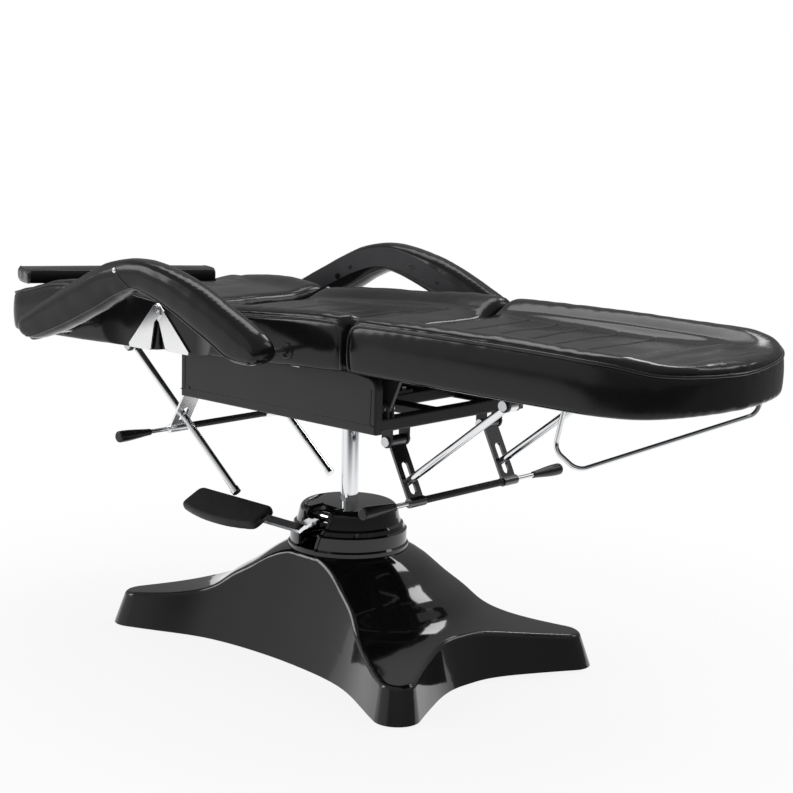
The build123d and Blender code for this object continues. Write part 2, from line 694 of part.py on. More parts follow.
# Friction lock hinges under the seat frame
leg_ear_half = leg_plate_width / 2 + joint_gap
back_ear_half = back_plate_width / 2 + joint_gap
with BuildPart() as leg_lock_ears:
    add(clevis(leg_lock_pin, lock_spacing, leg_ear_half, lock_ear_thickness, lock_ear_half, member_bottom,
               lock_ear_half, lock_pin_radius))
with BuildPart() as leg_lock_pins:
    add(pins(leg_lock_pin, lock_spacing, leg_ear_half + lock_ear_thickness, lock_pin_radius, hinge_head_radius))

back_bracket_top = back_lock_pin[1] + lock_ear_half
with BuildPart() as back_lock_ears:
    for sy in (1, -1):
        for along in (lock_spacing - back_ear_half - lock_ear_thickness, lock_spacing + back_ear_half):
            start = along if sy > 0 else -along - lock_ear_thickness
            with BuildSketch(Plane.XZ.offset(-start)):
                rear_x = -panel_half_length + sheet
                with BuildLine():
                    Polyline([(rear_x, member_bottom), (rear_x + tube_size / 2, member_top),
                              (rear_x + tube_size / 2, back_bracket_top), (back_lock_pin[0], back_bracket_top)])
                    ThreePointArc((back_lock_pin[0], back_bracket_top),
                                  (back_lock_pin[0] - lock_ear_half, back_lock_pin[1]),
                                  (back_lock_pin[0] - lock_ear_half / 2, back_lock_pin[1] - lock_ear_half))
                    Line((back_lock_pin[0] - lock_ear_half / 2, back_lock_pin[1] - lock_ear_half),
                         (rear_x, member_bottom))
                make_face()
                with Locations(back_lock_pin):
                    Circle(lock_pin_radius, mode=Mode.SUBTRACT)
            extrude(amount=-lock_ear_thickness)
    with BuildSketch(Plane.XZ.offset(inner_reach)):
        with Locations((-tube_x, member_bottom + tube_size / 2)):
            Rectangle(tube_size, tube_size)
    extrude(amount=-2 * inner_reach, mode=Mode.SUBTRACT)
with BuildPart() as back_lock_pins:
    add(pins(back_lock_pin, lock_spacing, back_ear_half + lock_ear_thickness, lock_pin_radius, hinge_head_radius))


def lock_plates(pin, lever, width, slot):
    """Two flat plates that hang from their pins and grip the rods in a slot."""
    span = hypot(lever[0] - pin[0], lever[1] - pin[1])
    along = Vector((lever[0] - pin[0]) / span, 0, (lever[1] - pin[1]) / span)
    with BuildPart() as plates:
        for sy in (1, -1):
            frame = Plane(origin=(pin[0], sy * lock_spacing, pin[1]), x_dir=along, z_dir=(along.Z, 0, -along.X))
            with BuildSketch(frame.offset(-lock_plate_thickness / 2)):
                with Locations(((span + lock_end_margin) / 2, 0)):
                    RectangleRounded(span + lock_end_margin, width, panel_small_corner)
                with Locations(((slot[0] + slot[1]) / 2, 0)):
                    SlotOverall(slot[1] - slot[0], 2 * slot_half_width, mode=Mode.SUBTRACT)
            extrude(amount=lock_plate_thickness)
            with BuildSketch(Plane.XZ.offset(-(sy * lock_spacing - width / 2))):
                with Locations(pin):
                    Circle(lock_eye_radius)
                with Locations(lever):
                    Circle(sleeve_radius + sheet)
            extrude(amount=-width)
            with BuildSketch(Plane.XZ.offset(-(sy * lock_spacing - width / 2))):
                with Locations(pin):
                    Circle(lock_pin_radius + running_gap)
                with Locations(lever):
                    Circle(lever_radius)
            extrude(amount=-width, mode=Mode.SUBTRACT)
    return plates.part


with BuildPart() as leg_lock_plates:
    add(lock_plates(leg_lock_pin, leg_lock_lever, leg_plate_width, leg_slot))
with BuildPart() as back_lock_plates:
    add(lock_plates(back_lock_pin, back_lock_lever, back_plate_width, back_slot))


def cross_bar(point, start, end, radius, bore):
    """Round bar or sleeve along Y."""
    with BuildPart() as bar:
        with BuildSketch(Plane.XZ.offset(-start)):
            with Locations(point):
                Circle(radius)
                if bore > 0:
                    Circle(bore, mode=Mode.SUBTRACT)
        extrude(amount=-(end - start))
    return bar.part


leg_inner = lock_spacing - leg_plate_width / 2
back_inner = lock_spacing - back_plate_width / 2
grip_sink = 60.0
with BuildPart() as leg_lever_bar:
    add(cross_bar(leg_lock_lever, leg_grip_near[0] + grip_sink, leg_grip_far[1] - grip_sink, lever_radius, 0))
with BuildPart() as leg_sleeve:
    add(cross_bar(leg_lock_lever, -leg_inner, leg_inner, sleeve_radius, lever_radius))
with BuildPart() as back_lever_bar:
    add(cross_bar(back_lock_lever, back_grip_near[0] + grip_sink, lock_spacing + back_plate_width / 2, lever_radius,
                  0))
with BuildPart() as back_sleeve:
    add(cross_bar(back_lock_lever, -back_inner, back_inner, sleeve_radius, lever_radius))


def grip(point, thick_y, thin_y):
    """Turned handle, thick and rounded at its free end."""
    way = 1 if thin_y > thick_y else -1
    length = abs(thin_y - thick_y)
    with BuildPart() as handle:
        axis_plane = Plane(origin=(point[0], thick_y, point[1]), x_dir=(1, 0, 0), z_dir=(0, 0, 1))
        with BuildSketch(axis_plane):
            with BuildLine():
                Line((0, 0), (grip_thick - grip_round, 0))
                ThreePointArc((grip_thick - grip_round, 0),
                              (grip_thick - grip_round * (1 - sin(radians(45))),
                               way * grip_round * (1 - sin(radians(45)))), (grip_thick, way * grip_round))
                Spline([(grip_thick, way * grip_round), (grip_thick - 1 / 2, way * length / 3),
                        (grip_thin + sheet, way * length * 2 / 3), (grip_thin, way * length)])
                Polyline([(grip_thin, way * length), (0, way * length), (0, 0)])
            make_face()
        revolve(axis=Axis((point[0], thick_y, point[1]), (0, 1, 0)))
        with BuildSketch(Plane.XZ.offset(-(thick_y + way * grip_sink if way > 0 else thin_y))):
            with Locations(point):
                Circle(lever_radius)
        extrude(amount=-(length - grip_sink), mode=Mode.SUBTRACT)
    return handle.part


with BuildPart() as leg_grip_near_part:
    add(grip(leg_lock_lever, leg_grip_near[0], leg_grip_near[1]))
with BuildPart() as leg_grip_far_part:
    add(grip(leg_lock_lever, leg_grip_far[1], leg_grip_far[0]))
with BuildPart() as back_grip_part:
    add(grip(back_lock_lever, back_grip_near[0], back_grip_near[1]))


def rods(top, low, cap):
    """Two round rods with an eye at the top pin and a cap at the low end."""
    span = hypot(low[0] - top[0], low[1] - top[1])
    along = Vector((low[0] - top[0]) / span, 0, (low[1] - top[1]) / span)
    with BuildPart() as pair:
        for sy in (1, -1):
            frame = Plane(origin=(top[0], sy * lock_spacing, top[1]), x_dir=(0, 1, 0), z_dir=along)
            with BuildSketch(frame):
                Circle(rod_radius)
            extrude(amount=span)
            if cap:
                with BuildSketch(frame.offset(span)):
                    Circle(rod_cap_radius)
                extrude(amount=rod_cap_length)
            with BuildSketch(Plane.XZ.offset(-(sy * lock_spacing - rod_eye_half))):
                with Locations(top):
                    Circle(rod_eye_radius)
            extrude(amount=-2 * rod_eye_half)
            with BuildSketch(Plane.XZ.offset(-(sy * lock_spacing - rod_eye_half))):
                with Locations(top):
                    Circle(rod_pin_radius + running_gap)
            extrude(amount=-2 * rod_eye_half, mode=Mode.SUBTRACT)
    return pair.part


with BuildPart() as leg_rods:
    add(rods(leg_rod_top, leg_rod_low, False))
with BuildPart() as back_rods:
    add(rods(back_rod_top, back_rod_low, True))

rod_ear_inner = rod_eye_half + joint_gap
with BuildPart() as leg_rod_ears:
    add(clevis(leg_rod_top, lock_spacing, rod_ear_inner, rod_ear_thickness, rod_eye_radius,
               leg_plane_height, rod_eye_radius + overrun, rod_pin_radius))
with BuildPart() as leg_rod_pins:
    add(pins(leg_rod_top, lock_spacing, rod_ear_inner + rod_ear_thickness, rod_pin_radius, hinge_head_radius))
with BuildPart() as back_rod_ears:
    add(clevis(back_rod_top, lock_spacing, rod_ear_inner, rod_ear_thickness, rod_eye_radius,
               back_level(back_rod_top[0]) - sheet, rod_eye_radius + overrun, rod_pin_radius))
    with BuildSketch(Plane.XZ.offset(-(lock_spacing + rod_ear_inner + rod_ear_thickness))):
        with BuildLine():
            low_x = back_rod_top[0] - 2 * rod_eye_radius
            high_x = back_rod_top[0] + 2 * rod_eye_radius
            Polyline([(low_x, back_level(low_x) - sheet), (high_x, back_level(high_x) - sheet),
                      (high_x, back_level(high_x)), (low_x, back_level(low_x)),
                      (low_x, back_level(low_x) - sheet)])
        make_face()
    extrude(amount=2 * (lock_spacing + rod_ear_inner + rod_ear_thickness))
with BuildPart() as back_rod_pins:
    add(pins(back_rod_top, lock_spacing, rod_ear_inner + rod_ear_thickness, rod_pin_radius, hinge_head_radius))

# Leg rest frame: two rails with drop leaves to the hinge, and cross bars
with BuildPart() as leg_frame:
    rail_bottom = leg_plane_height - leg_rail_height
    for sy in (1, -1):
        with BuildSketch(Plane.XY.offset(rail_bottom)):
            with Locations(((leg_rail_start + leg_rail_end) / 2, sy * leg_rail_y)):
                Rectangle(leg_rail_end - leg_rail_start, leg_rail_width)
        extrude(amount=leg_rail_height)
        with BuildSketch(Plane.XZ.offset(-(sy * leg_rail_y - leg_leaf_thickness / 2))):
            with BuildLine():
                Polyline([(leg_hinge_x - hinge_eye_radius, leg_hinge_z),
                          (leg_hinge_x - hinge_eye_radius + sheet, rail_bottom),
                          (leg_hinge_x + 3 * hinge_eye_radius, rail_bottom),
                          (leg_hinge_x + hinge_eye_radius, leg_hinge_z)])
                ThreePointArc((leg_hinge_x + hinge_eye_radius, leg_hinge_z),
                              (leg_hinge_x, leg_hinge_z - hinge_eye_radius),
                              (leg_hinge_x - hinge_eye_radius, leg_hinge_z))
            make_face()
            with Locations(leg_hinge):
                Circle(hinge_pin_radius + running_gap, mode=Mode.SUBTRACT)
        extrude(amount=-leg_leaf_thickness)
    for bar_x, bar_width in leg_cross_bars:
        with BuildSketch(Plane.XY.offset(leg_plane_height - sheet * 2)):
            with Locations((bar_x, 0)):
                Rectangle(2 * bar_width, 2 * leg_rail_y)
        extrude(amount=sheet * 2)

with BuildPart() as leg_rod_ears_fixed:
    add(leg_rod_ears.part)
    with BuildSketch(Plane.XY.offset(leg_plane_height - sheet * 2)):
        with Locations((leg_rod_top[0], 0)):
            Rectangle(2 * leg_cross_bars[0][1], 2 * leg_rail_y)
    extrude(amount=sheet * 2, mode=Mode.SUBTRACT)

# Loop bar
with BuildPart() as loop_bar:
    with BuildLine() as loop_path:
        FilletPolyline(*loop_points, radius=loop_bend)
    with BuildSketch(Plane(origin=loop_path.line @ 0, z_dir=loop_path.line % 0)):
        Circle(loop_radius)
    sweep(path=loop_path.line)
    for tip in (loop_points[0], loop_points[-1]):
        with BuildSketch(Plane.XY.offset(leg_plane_height - loop_foot_height)):
            with Locations((tip[0], tip[1])):
                Circle(loop_foot_radius)
        extrude(amount=loop_foot_height)
    with BuildSketch(Plane.XY.offset(leg_plane_height)):
        Rectangle(4 * leg_rail_end, 4 * board_half_width)
    extrude(amount=board_thickness, mode=Mode.SUBTRACT)


def board(ends, level):
    """Upholstery board with rounded corners, flush with the cushion's underside."""
    x0, x1 = ends
    with BuildPart() as plank:
        with BuildSketch(Plane.XZ.offset(-board_half_width)):
            with BuildLine():
                Polyline([(x0, level(x0)), (x1, level(x1)), (x1, level(x1) + board_thickness),
                          (x0, level(x0) + board_thickness), (x0, level(x0))])
            make_face()
        extrude(amount=2 * board_half_width)
        upright = [e for e in plank.edges() if abs(e.length - board_thickness) < 1]
        fillet(upright, radius=board_corner)
    return plank.part


with BuildPart() as seat_board:
    add(board(seat_board_ends, seat_level))
with BuildPart() as leg_board:
    add(board(leg_board_ends, leg_level))
with BuildPart() as back_board:
    add(board(back_board_ends, back_level))


def leaf(points, start_y, side, spacer):
    """Flat triangular hinge leaf with rounded corners and a screw hole at its apex."""
    with BuildPart() as plate:
        with BuildSketch(Plane.XZ.offset(-side * start_y)):
            with BuildLine():
                Polyline(points + [points[0]])
            shape = make_face()
            fillet(shape.vertices(), radius=sheet)
        extrude(amount=-side * leaf_thickness)
        if spacer > 0:
            with BuildSketch(Plane.XZ.offset(-side * board_half_width)):
                with BuildLine():
                    Polyline(points[4:7] + [(points[6][0], points[6][1] + 2 * leaf_spacer_radius), points[4]])
                make_face()
            extrude(amount=-side * (start_y - board_half_width))
        with BuildSketch(Plane.XZ.offset(-side * board_half_width)):
            with Locations((back_hinge_x, back_hinge_z)):
                Circle(back_screw_radius + running_gap)
        extrude(amount=-side * cushion_crest_inset, mode=Mode.SUBTRACT)
    return plate.part


back_leaf_start = leaf_inner + leaf_thickness + leaf_gap
hinge_plates = {}
for side_name, side in [("near", -1), ("far", 1)]:
    with BuildPart() as seat_leaf:
        add(leaf(seat_leaf_points, leaf_inner, side, 1))
    hinge_plates["seat_leaf_" + side_name] = seat_leaf.part
    with BuildPart() as back_leaf:
        add(leaf(back_leaf_points, back_leaf_start, side, 1))
    hinge_plates["back_leaf_" + side_name] = back_leaf.part
with BuildPart() as hinge_screws:
    for side in (-1, 1):
        with BuildSketch(Plane.XZ.offset(-side * leaf_inner)):
            with Locations((back_hinge_x, back_hinge_z)):
                Circle(back_screw_radius)
        extrude(amount=-side * (2 * leaf_thickness + leaf_gap))
        with BuildSketch(Plane.XZ.offset(-side * (back_leaf_start + leaf_thickness))):
            with Locations((back_hinge_x, back_hinge_z)):
                Circle(back_screw_head_radius)
        extrude(amount=-side * back_screw_head_height)
hinge_plates["hinge_screws"] = hinge_screws.part


def cushion(stations, level, channels):
    """Stuffed form: flat underside, bowed sides, rounded shoulders and a dished top with sewn channels."""
    with BuildPart() as form:
        for x, height, dish, overhang in stations:
            half_width = board_half_width + overhang
            base = level(x)
            side = base + height * cushion_side_share
            shoulder = base + height * cushion_shoulder_share
            crest = base + height
            wide = half_width + cushion_side_bulge
            top = half_width - cushion_shoulder_inset
            inner = half_width - cushion_crest_inset
            turn = half_width - cushion_crest_inset * (1 - cushion_round_share) + cushion_shoulder_inset
            lift = shoulder + (crest - shoulder) * (1 - (1 - cushion_round_share) ** 2)
            with BuildSketch(Plane.YZ.offset(x)):
                with BuildLine():
                    Line((-half_width, base), (half_width, base))
                    ThreePointArc((half_width, base), (wide, side), (top, shoulder))
                    ThreePointArc((top, shoulder), ((turn + top) / 2 - cushion_shoulder_inset, lift), (inner, crest))
                    ThreePointArc((inner, crest), (0, crest - dish), (-inner, crest))
                    ThreePointArc((-inner, crest), (-(turn + top) / 2 + cushion_shoulder_inset, lift),
                                  (-top, shoulder))
                    ThreePointArc((-top, shoulder), (-wide, side), (-half_width, base))
                make_face()
        loft()
        for x in channels:
            left = [s for s in stations if s[0] <= x][-1]
            right = [s for s in stations if s[0] > x][0]
            share = (x - left[0]) / (right[0] - left[0])
            height, dish, overhang = [a + (b - a) * share for a, b in zip(left[1:], right[1:])]
            reach = board_half_width + overhang - cushion_crest_inset * channel_end_share
            with BuildLine(Plane.YZ.offset(x)) as seam:
                ThreePointArc((-reach, level(x) + height - sheet), (0, level(x) + height - dish + running_gap * 10),
                              (reach, level(x) + height - sheet))
            with BuildSketch(Plane(origin=seam.line @ 0, z_dir=seam.line % 0)):
                Circle(channel_radius)
            sweep(path=seam.line, mode=Mode.SUBTRACT)
    return form.part


def plan_cut(shares, far_x):
    """Plan outline of a cushion: straight sides and one rounded end, widths as shares of the board's."""
    points = [(x, share * board_half_width) for x, share in shares]
    mirrored = [(x, -y) for x, y in reversed(points[:-1])]
    with BuildPart() as cut:
        with BuildSketch(Plane.XY.offset(panel_bottom)):
            with BuildLine():
                Spline(points + mirrored)
                Polyline([mirrored[-1], (far_x, mirrored[-1][1]), (far_x, points[0][1]), points[0]])
            make_face()
        extrude(amount=panel_half_length)
    return cut.part


def side_pockets():
    """Room beside the cushions for the hinge plates."""
    with BuildPart() as pockets:
        for sy in (1, -1):
            with BuildSketch(Plane.XZ.offset(-sy * (leaf_inner - soft_gap))):
                with Locations(((side_pocket_x[0] + side_pocket_x[1]) / 2, (side_pocket_z[0] + side_pocket_z[1]) / 2)):
                    RectangleRounded(side_pocket_x[1] - side_pocket_x[0], side_pocket_z[1] - side_pocket_z[0],
                                     seat_end_corner)
            extrude(amount=-sy * cushion_crest_inset)
    return pockets.part


def stud_pockets(point):
    """Room in the cushion's side for a stud and its bracket plate."""
    with BuildPart() as pockets:
        for sy in (1, -1):
            with BuildSketch(Plane.XZ.offset(-sy * board_half_width)):
                with Locations(point):
                    Rectangle(2 * (stud_plate_half + soft_gap), 4 * stud_plate_half)
            extrude(amount=-sy * (stud_plate_thickness + soft_gap))
            with BuildSketch(Plane.XZ.offset(-sy * board_half_width)):
                with Locations(point):
                    Circle(stud_radius + soft_gap)
            extrude(amount=-sy * cushion_crest_inset)
    return pockets.part


pockets_part = side_pockets()
with BuildPart() as seat_cushion:
    add(cushion(seat_stations, seat_level, seat_channels))
    add(seat_board.part, mode=Mode.SUBTRACT)
    add(pockets_part, mode=Mode.SUBTRACT)
    add(hinge_plates["seat_leaf_near"], mode=Mode.SUBTRACT)
    add(hinge_plates["seat_leaf_far"], mode=Mode.SUBTRACT)
    add(stud_pockets(arm_pivot), mode=Mode.SUBTRACT)
with BuildPart() as leg_cushion:
    add(cushion(leg_stations, leg_level, leg_channels))
    add(plan_cut(leg_plan_shares, leg_stations[0][0]), mode=Mode.INTERSECT)
    add(leg_board.part, mode=Mode.SUBTRACT)
with BuildPart() as back_cushion:
    add(cushion(back_stations, back_level, []))
    add(plan_cut(back_plan_shares, back_stations[-1][0]), mode=Mode.INTERSECT)
    add(back_board.part, mode=Mode.SUBTRACT)
    add(pockets_part, mode=Mode.SUBTRACT)
    add(hinge_plates["back_leaf_near"], mode=Mode.SUBTRACT)
    add(hinge_plates["back_leaf_far"], mode=Mode.SUBTRACT)
    add(stud_pockets(arm_stud), mode=Mode.SUBTRACT)

# Head pillow, cut to the backrest under it
with BuildPart() as head_pillow:
    pillow_plane = Plane.XY.rotated((pillow_roll, 0, pillow_turn))
    pillow_plane = Plane(origin=pillow_centre, x_dir=pillow_plane.x_dir, z_dir=pillow_plane.z_dir)
    with BuildSketch(pillow_plane.offset(-pillow_size[2] / 2)):
        RectangleRounded(pillow_size[0], pillow_size[1], pillow_round)
    extrude(amount=pillow_size[2])
    caps = [f for f in head_pillow.faces() if abs(f.normal_at().dot(pillow_plane.z_dir)) > 0.99]
    fillet([e for f in caps for e in f.edges()], radius=pillow_round)
    add(back_cushion.part, mode=Mode.SUBTRACT)


def stud(point, board_bottom, reach):
    """On both sides, a bracket plate on the board's edge with a round stud."""
    with BuildPart() as piece:
        for side in (-1, 1):
            with BuildSketch(Plane.XZ.offset(-side * board_half_width)):
                top = point[1] + stud_plate_half
                with Locations((point[0], (board_bottom + top) / 2)):
                    Rectangle(2 * stud_plate_half, top - board_bottom)
            extrude(amount=-side * stud_plate_thickness)
            with BuildSketch(Plane.XZ.offset(-side * board_half_width)):
                with Locations(point):
                    Circle(stud_radius)
            extrude(amount=-side * (reach - board_half_width))
    return piece.part


arm_inner = arm_plane - arm_width / 2
arm_outer = arm_plane + arm_width / 2
arm_span = hypot(arm_stud[0] - arm_pivot[0], arm_stud[1] - arm_pivot[1])
arm_way = Vector((arm_stud[0] - arm_pivot[0]) / arm_span, 0, (arm_stud[1] - arm_pivot[1]) / arm_span)
with BuildPart() as arm_pivots:
    add(stud(arm_pivot, seat_level(arm_pivot[0]), arm_inner + arm_core_thickness))
with BuildPart() as arm_studs:
    add(stud(arm_stud, back_level(arm_stud[0]), arm_inner + arm_core_thickness))
arm_parts = {"arm_pivots": arm_pivots.part, "arm_studs": arm_studs.part}
for side_name, side in [("near", -1), ("far", 1)]:
    with BuildPart() as arm_core:
        with BuildSketch(Plane.XZ.offset(-side * arm_inner)):
            with BuildLine() as core_line:
                Spline([Vector(x, z) for x, z in arm_core_path])
            trace(core_line.line, line_width=2 * arm_core_half)
            with Locations(arm_core_path[0], arm_core_path[-1]):
                Circle(arm_core_half)
        extrude(amount=-side * arm_core_thickness)
        with BuildSketch(Plane.XZ.offset(-side * arm_inner)):
            with Locations(arm_pivot):
                Circle(stud_radius + running_gap)
            middle = (stud_travel[0] + stud_travel[1]) / 2
            with Locations((arm_pivot[0] + arm_way.X * middle, arm_pivot[1] + arm_way.Z * middle)):
                SlotCenterToCenter(stud_travel[1] - stud_travel[0], 2 * stud_slot_half,
                                   rotation=degrees(atan2(arm_way.Z, arm_way.X)))
        extrude(amount=-side * arm_core_thickness, mode=Mode.SUBTRACT)
    arm_parts["arm_core_" + side_name] = arm_core.part
    with BuildPart() as arm_pad:
        with BuildSketch(Plane.XZ.offset(-side * arm_inner)):
            with BuildLine():
                Spline(arm_top_points)
                Spline([arm_top_points[-1]] + arm_rear_points)
                Spline([arm_rear_points[-1]] + arm_low_points)
                Spline([arm_low_points[-1]] + arm_front_points + [arm_top_points[0]])
            make_face()
        extrude(amount=-side * arm_width)
        faces = arm_pad.faces().sort_by(Axis.Y)
        rims = [e for f in (faces[0], faces[-1]) for e in f.edges()]
        try:
            fillet(rims, radius=arm_round)
        except Exception:
            chamfer(rims, length=plate_collar)
        add(arm_core.part, mode=Mode.SUBTRACT)
        with BuildSketch(Plane.XZ.offset(-side * (arm_inner - overrun))):
            with Locations(arm_pivot):
                Circle(stud_radius + soft_gap)
            with Locations((arm_pivot[0] + arm_way.X * middle, arm_pivot[1] + arm_way.Z * middle)):
                SlotCenterToCenter(stud_travel[1] - stud_travel[0], 2 * stud_slot_half,
                                   rotation=degrees(atan2(arm_way.Z, arm_way.X)))
        extrude(amount=-side * (overrun + arm_core_thickness + stud_cap_height), mode=Mode.SUBTRACT)
    arm_parts["arm_pad_" + side_name] = arm_pad.part

pieces = {
    "base_cover": base_cover.part, "base_frame": base_frame.part, "pump_cylinder": pump_cylinder.part,
    "cylinder_bolts": cylinder_bolts.part, "pedal_pin": pedal_pin.part, "pump_cover": pump_cover.part,
    "slot_rim": slot_rim.part, "pedal_bar": pedal_bar.part, "pedal_shoe": pedal_shoe.part,
    "lift_column": lift_column.part, "swivel_mount": swivel_mount.part, "mount_bolts": mount_bolts.part,
    "side_panel_near": side_panel_near.part, "side_panel_far": side_panel_far.part,
    "front_tube": front_tube.part, "rear_tube": rear_tube.part,
    "cross_members": cross_members.part, "floor_pads": floor_pads.part,
    "centre_beams": centre_beams.part, "leg_hinge_ears": leg_hinge_ears.part,
    "leg_hinge_pins": leg_hinge_pins.part, "leg_lock_ears": leg_lock_ears.part,
    "leg_lock_pins": leg_lock_pins.part, "back_lock_ears": back_lock_ears.part,
    "back_lock_pins": back_lock_pins.part, "leg_lock_plates": leg_lock_plates.part,
    "back_lock_plates": back_lock_plates.part, "leg_lever_bar": leg_lever_bar.part,
    "leg_sleeve": leg_sleeve.part, "back_lever_bar": back_lever_bar.part, "back_sleeve": back_sleeve.part,
    "leg_grip_near": leg_grip_near_part.part, "leg_grip_far": leg_grip_far_part.part,
    "back_grip": back_grip_part.part, "leg_rods": leg_rods.part, "back_rods": back_rods.part,
    "leg_rod_ears": leg_rod_ears_fixed.part, "leg_rod_pins": leg_rod_pins.part,
    "back_rod_ears": back_rod_ears.part, "back_rod_pins": back_rod_pins.part, "leg_frame": leg_frame.part,
    "loop_bar": loop_bar.part, "seat_board": seat_board.part, "leg_board": leg_board.part,
    "back_board": back_board.part, "seat_cushion": seat_cushion.part, "leg_cushion": leg_cushion.part,
    "back_cushion": back_cushion.part, "head_pillow": head_pillow.part,
}
pieces.update(hinge_plates)
pieces.update(arm_parts)
for name, shape in pieces.items():
    shape.label = name
    export_step(shape, "parts/" + name + ".step")
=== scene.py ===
"""Tattoo chair: soft goods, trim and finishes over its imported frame."""
import logging
import math
from dataclasses import dataclass, field
from enum import Enum
from typing import Callable, Mapping, Optional, Sequence

import bmesh
import bpy
from mathutils import Matrix, Vector, noise


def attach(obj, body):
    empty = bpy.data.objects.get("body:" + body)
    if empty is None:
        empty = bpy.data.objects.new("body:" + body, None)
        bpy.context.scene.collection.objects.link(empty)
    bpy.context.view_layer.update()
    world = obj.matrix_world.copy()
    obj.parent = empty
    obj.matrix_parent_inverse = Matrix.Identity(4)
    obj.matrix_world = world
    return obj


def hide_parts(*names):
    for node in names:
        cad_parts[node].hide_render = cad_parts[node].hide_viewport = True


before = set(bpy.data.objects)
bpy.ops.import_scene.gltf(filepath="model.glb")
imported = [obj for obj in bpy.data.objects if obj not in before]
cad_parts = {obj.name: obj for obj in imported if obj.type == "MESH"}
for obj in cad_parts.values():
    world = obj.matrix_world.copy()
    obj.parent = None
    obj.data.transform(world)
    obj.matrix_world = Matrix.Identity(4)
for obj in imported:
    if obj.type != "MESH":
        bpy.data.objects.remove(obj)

log = logging.getLogger("tattoo_chair")
logging.basicConfig(level=logging.INFO, format="%(message)s")

Point = tuple[float, float, float]
Pair = tuple[float, float]
Table = Sequence[Pair]
Tree = bpy.types.NodeTree
Socket = bpy.types.NodeSocket
Node = bpy.types.Node
Obj = bpy.types.Object
Material = bpy.types.Material
Mesh = bpy.types.Mesh
Data = bpy.types.ID

PORE_WIDTH = 0.35
MARK_SPREAD = (0.3, 0.7)
TINT_GAIN = 1.35
TONE_SHARE = 2.3
PANEL_FACE = 0.2315
LEAF_INNER_FACE = 0.2543
BESIDE_LEAVES = 0.026
LEAF_REACH = ((-0.56, -0.436), (-0.10, -0.214))
LEAF_TOP = (0.768, 0.748)
FAR_RAMP = (-0.05, 0.2)
HELD_UNDER = 0.008
HELD_END = 0.02
HELD_SEAM = (0.002, 0.012)
WELD = 1e-5
TIP_SHARE = 0.55
CORD_RADIUS = 0.0036
CORD_PROUD = 0.0012
CORD_MARGIN = 0.0038
CORD_STEP = 0.005
WELT_RADIUS = 0.0019
WELT_PROUD = 0.0007
WELT_STEP = 0.006
OUTLINE_STEP = 0.004
SEAM_RADIUS = 0.0014
SEAM_PROUD = 0.0003
FOLD_RADIUS = 0.0011
FOLD_STEP = 0.008
STITCH_LENGTH = 0.0042
STITCH_BOW = 0.00035
STITCH_RADIUS = 0.00042
STITCH_PITCH = 0.0056
STITCH_LIFT = 0.0003
TREAD_VOXEL = 0.002
TREAD_ROUNDS = 16


class Side(Enum):
    """The two long sides of the chair."""

    NEAR = -1
    FAR = 1


class Ray(Enum):
    """Outputs of the Light Path node that see the white studio."""

    CAMERA = "Is Camera Ray"
    GLOSSY = "Is Glossy Ray"
    TRANSMISSION = "Is Transmission Ray"


# Nodes

def made_node(tree: Tree, kind: str, values: Optional[Mapping[str, object]] = None,
              **settings: object) -> Node:
    """A new node with its settings and socket values.

    Args:
        tree: the tree that it joins.
        kind: the node's type.
        values: values by socket name, set after the settings.
        settings: properties of the node.

    Returns:
        The node.
    """
    node = tree.nodes.new(kind)
    for key, value in settings.items():
        setattr(node, key, value)
    for key, value in (values or {}).items():
        node.inputs[key].default_value = value
    return node


def new_group(name: str, kind: str, inputs: Mapping[str, str], outputs: Mapping[str, str]) -> Tree:
    """A node group with its sockets.

    Args:
        name: the group's name.
        kind: the tree's type.
        inputs: socket types by name.
        outputs: the same for the outputs.

    Returns:
        The group.
    """
    tree = bpy.data.node_groups.new(name, kind)
    for way, sockets in (("INPUT", inputs), ("OUTPUT", outputs)):
        for label, socket in sockets.items():
            tree.interface.new_socket(label, in_out=way, socket_type="NodeSocket" + socket)
    return tree


def grain_group() -> Tree:
    """Cell grain with soft pores, for vinyl and rubber.

    Returns:
        The node group, from Vector, Scale and Softness to Height.
    """
    tree = new_group("surface_grain", "ShaderNodeTree",
                     {"Vector": "Vector", "Scale": "Float", "Softness": "Float"}, {"Height": "Float"})
    inp, out = made_node(tree, "NodeGroupInput"), made_node(tree, "NodeGroupOutput")
    cells = made_node(tree, "ShaderNodeTexVoronoi", feature="DISTANCE_TO_EDGE")
    soft = made_node(tree, "ShaderNodeTexNoise")
    ramp = made_node(tree, "ShaderNodeMapRange", {"From Max": PORE_WIDTH})
    mix = made_node(tree, "ShaderNodeMix")
    link = tree.links.new
    for texture in (cells, soft):
        link(inp.outputs["Vector"], texture.inputs["Vector"])
        link(inp.outputs["Scale"], texture.inputs["Scale"])
    link(cells.outputs["Distance"], ramp.inputs["Value"])
    link(inp.outputs["Softness"], mix.inputs["Factor"])
    link(ramp.outputs["Result"], mix.inputs["A"])
    link(soft.outputs["Fac"], mix.inputs["B"])
    link(mix.outputs["Result"], out.inputs["Height"])
    return tree


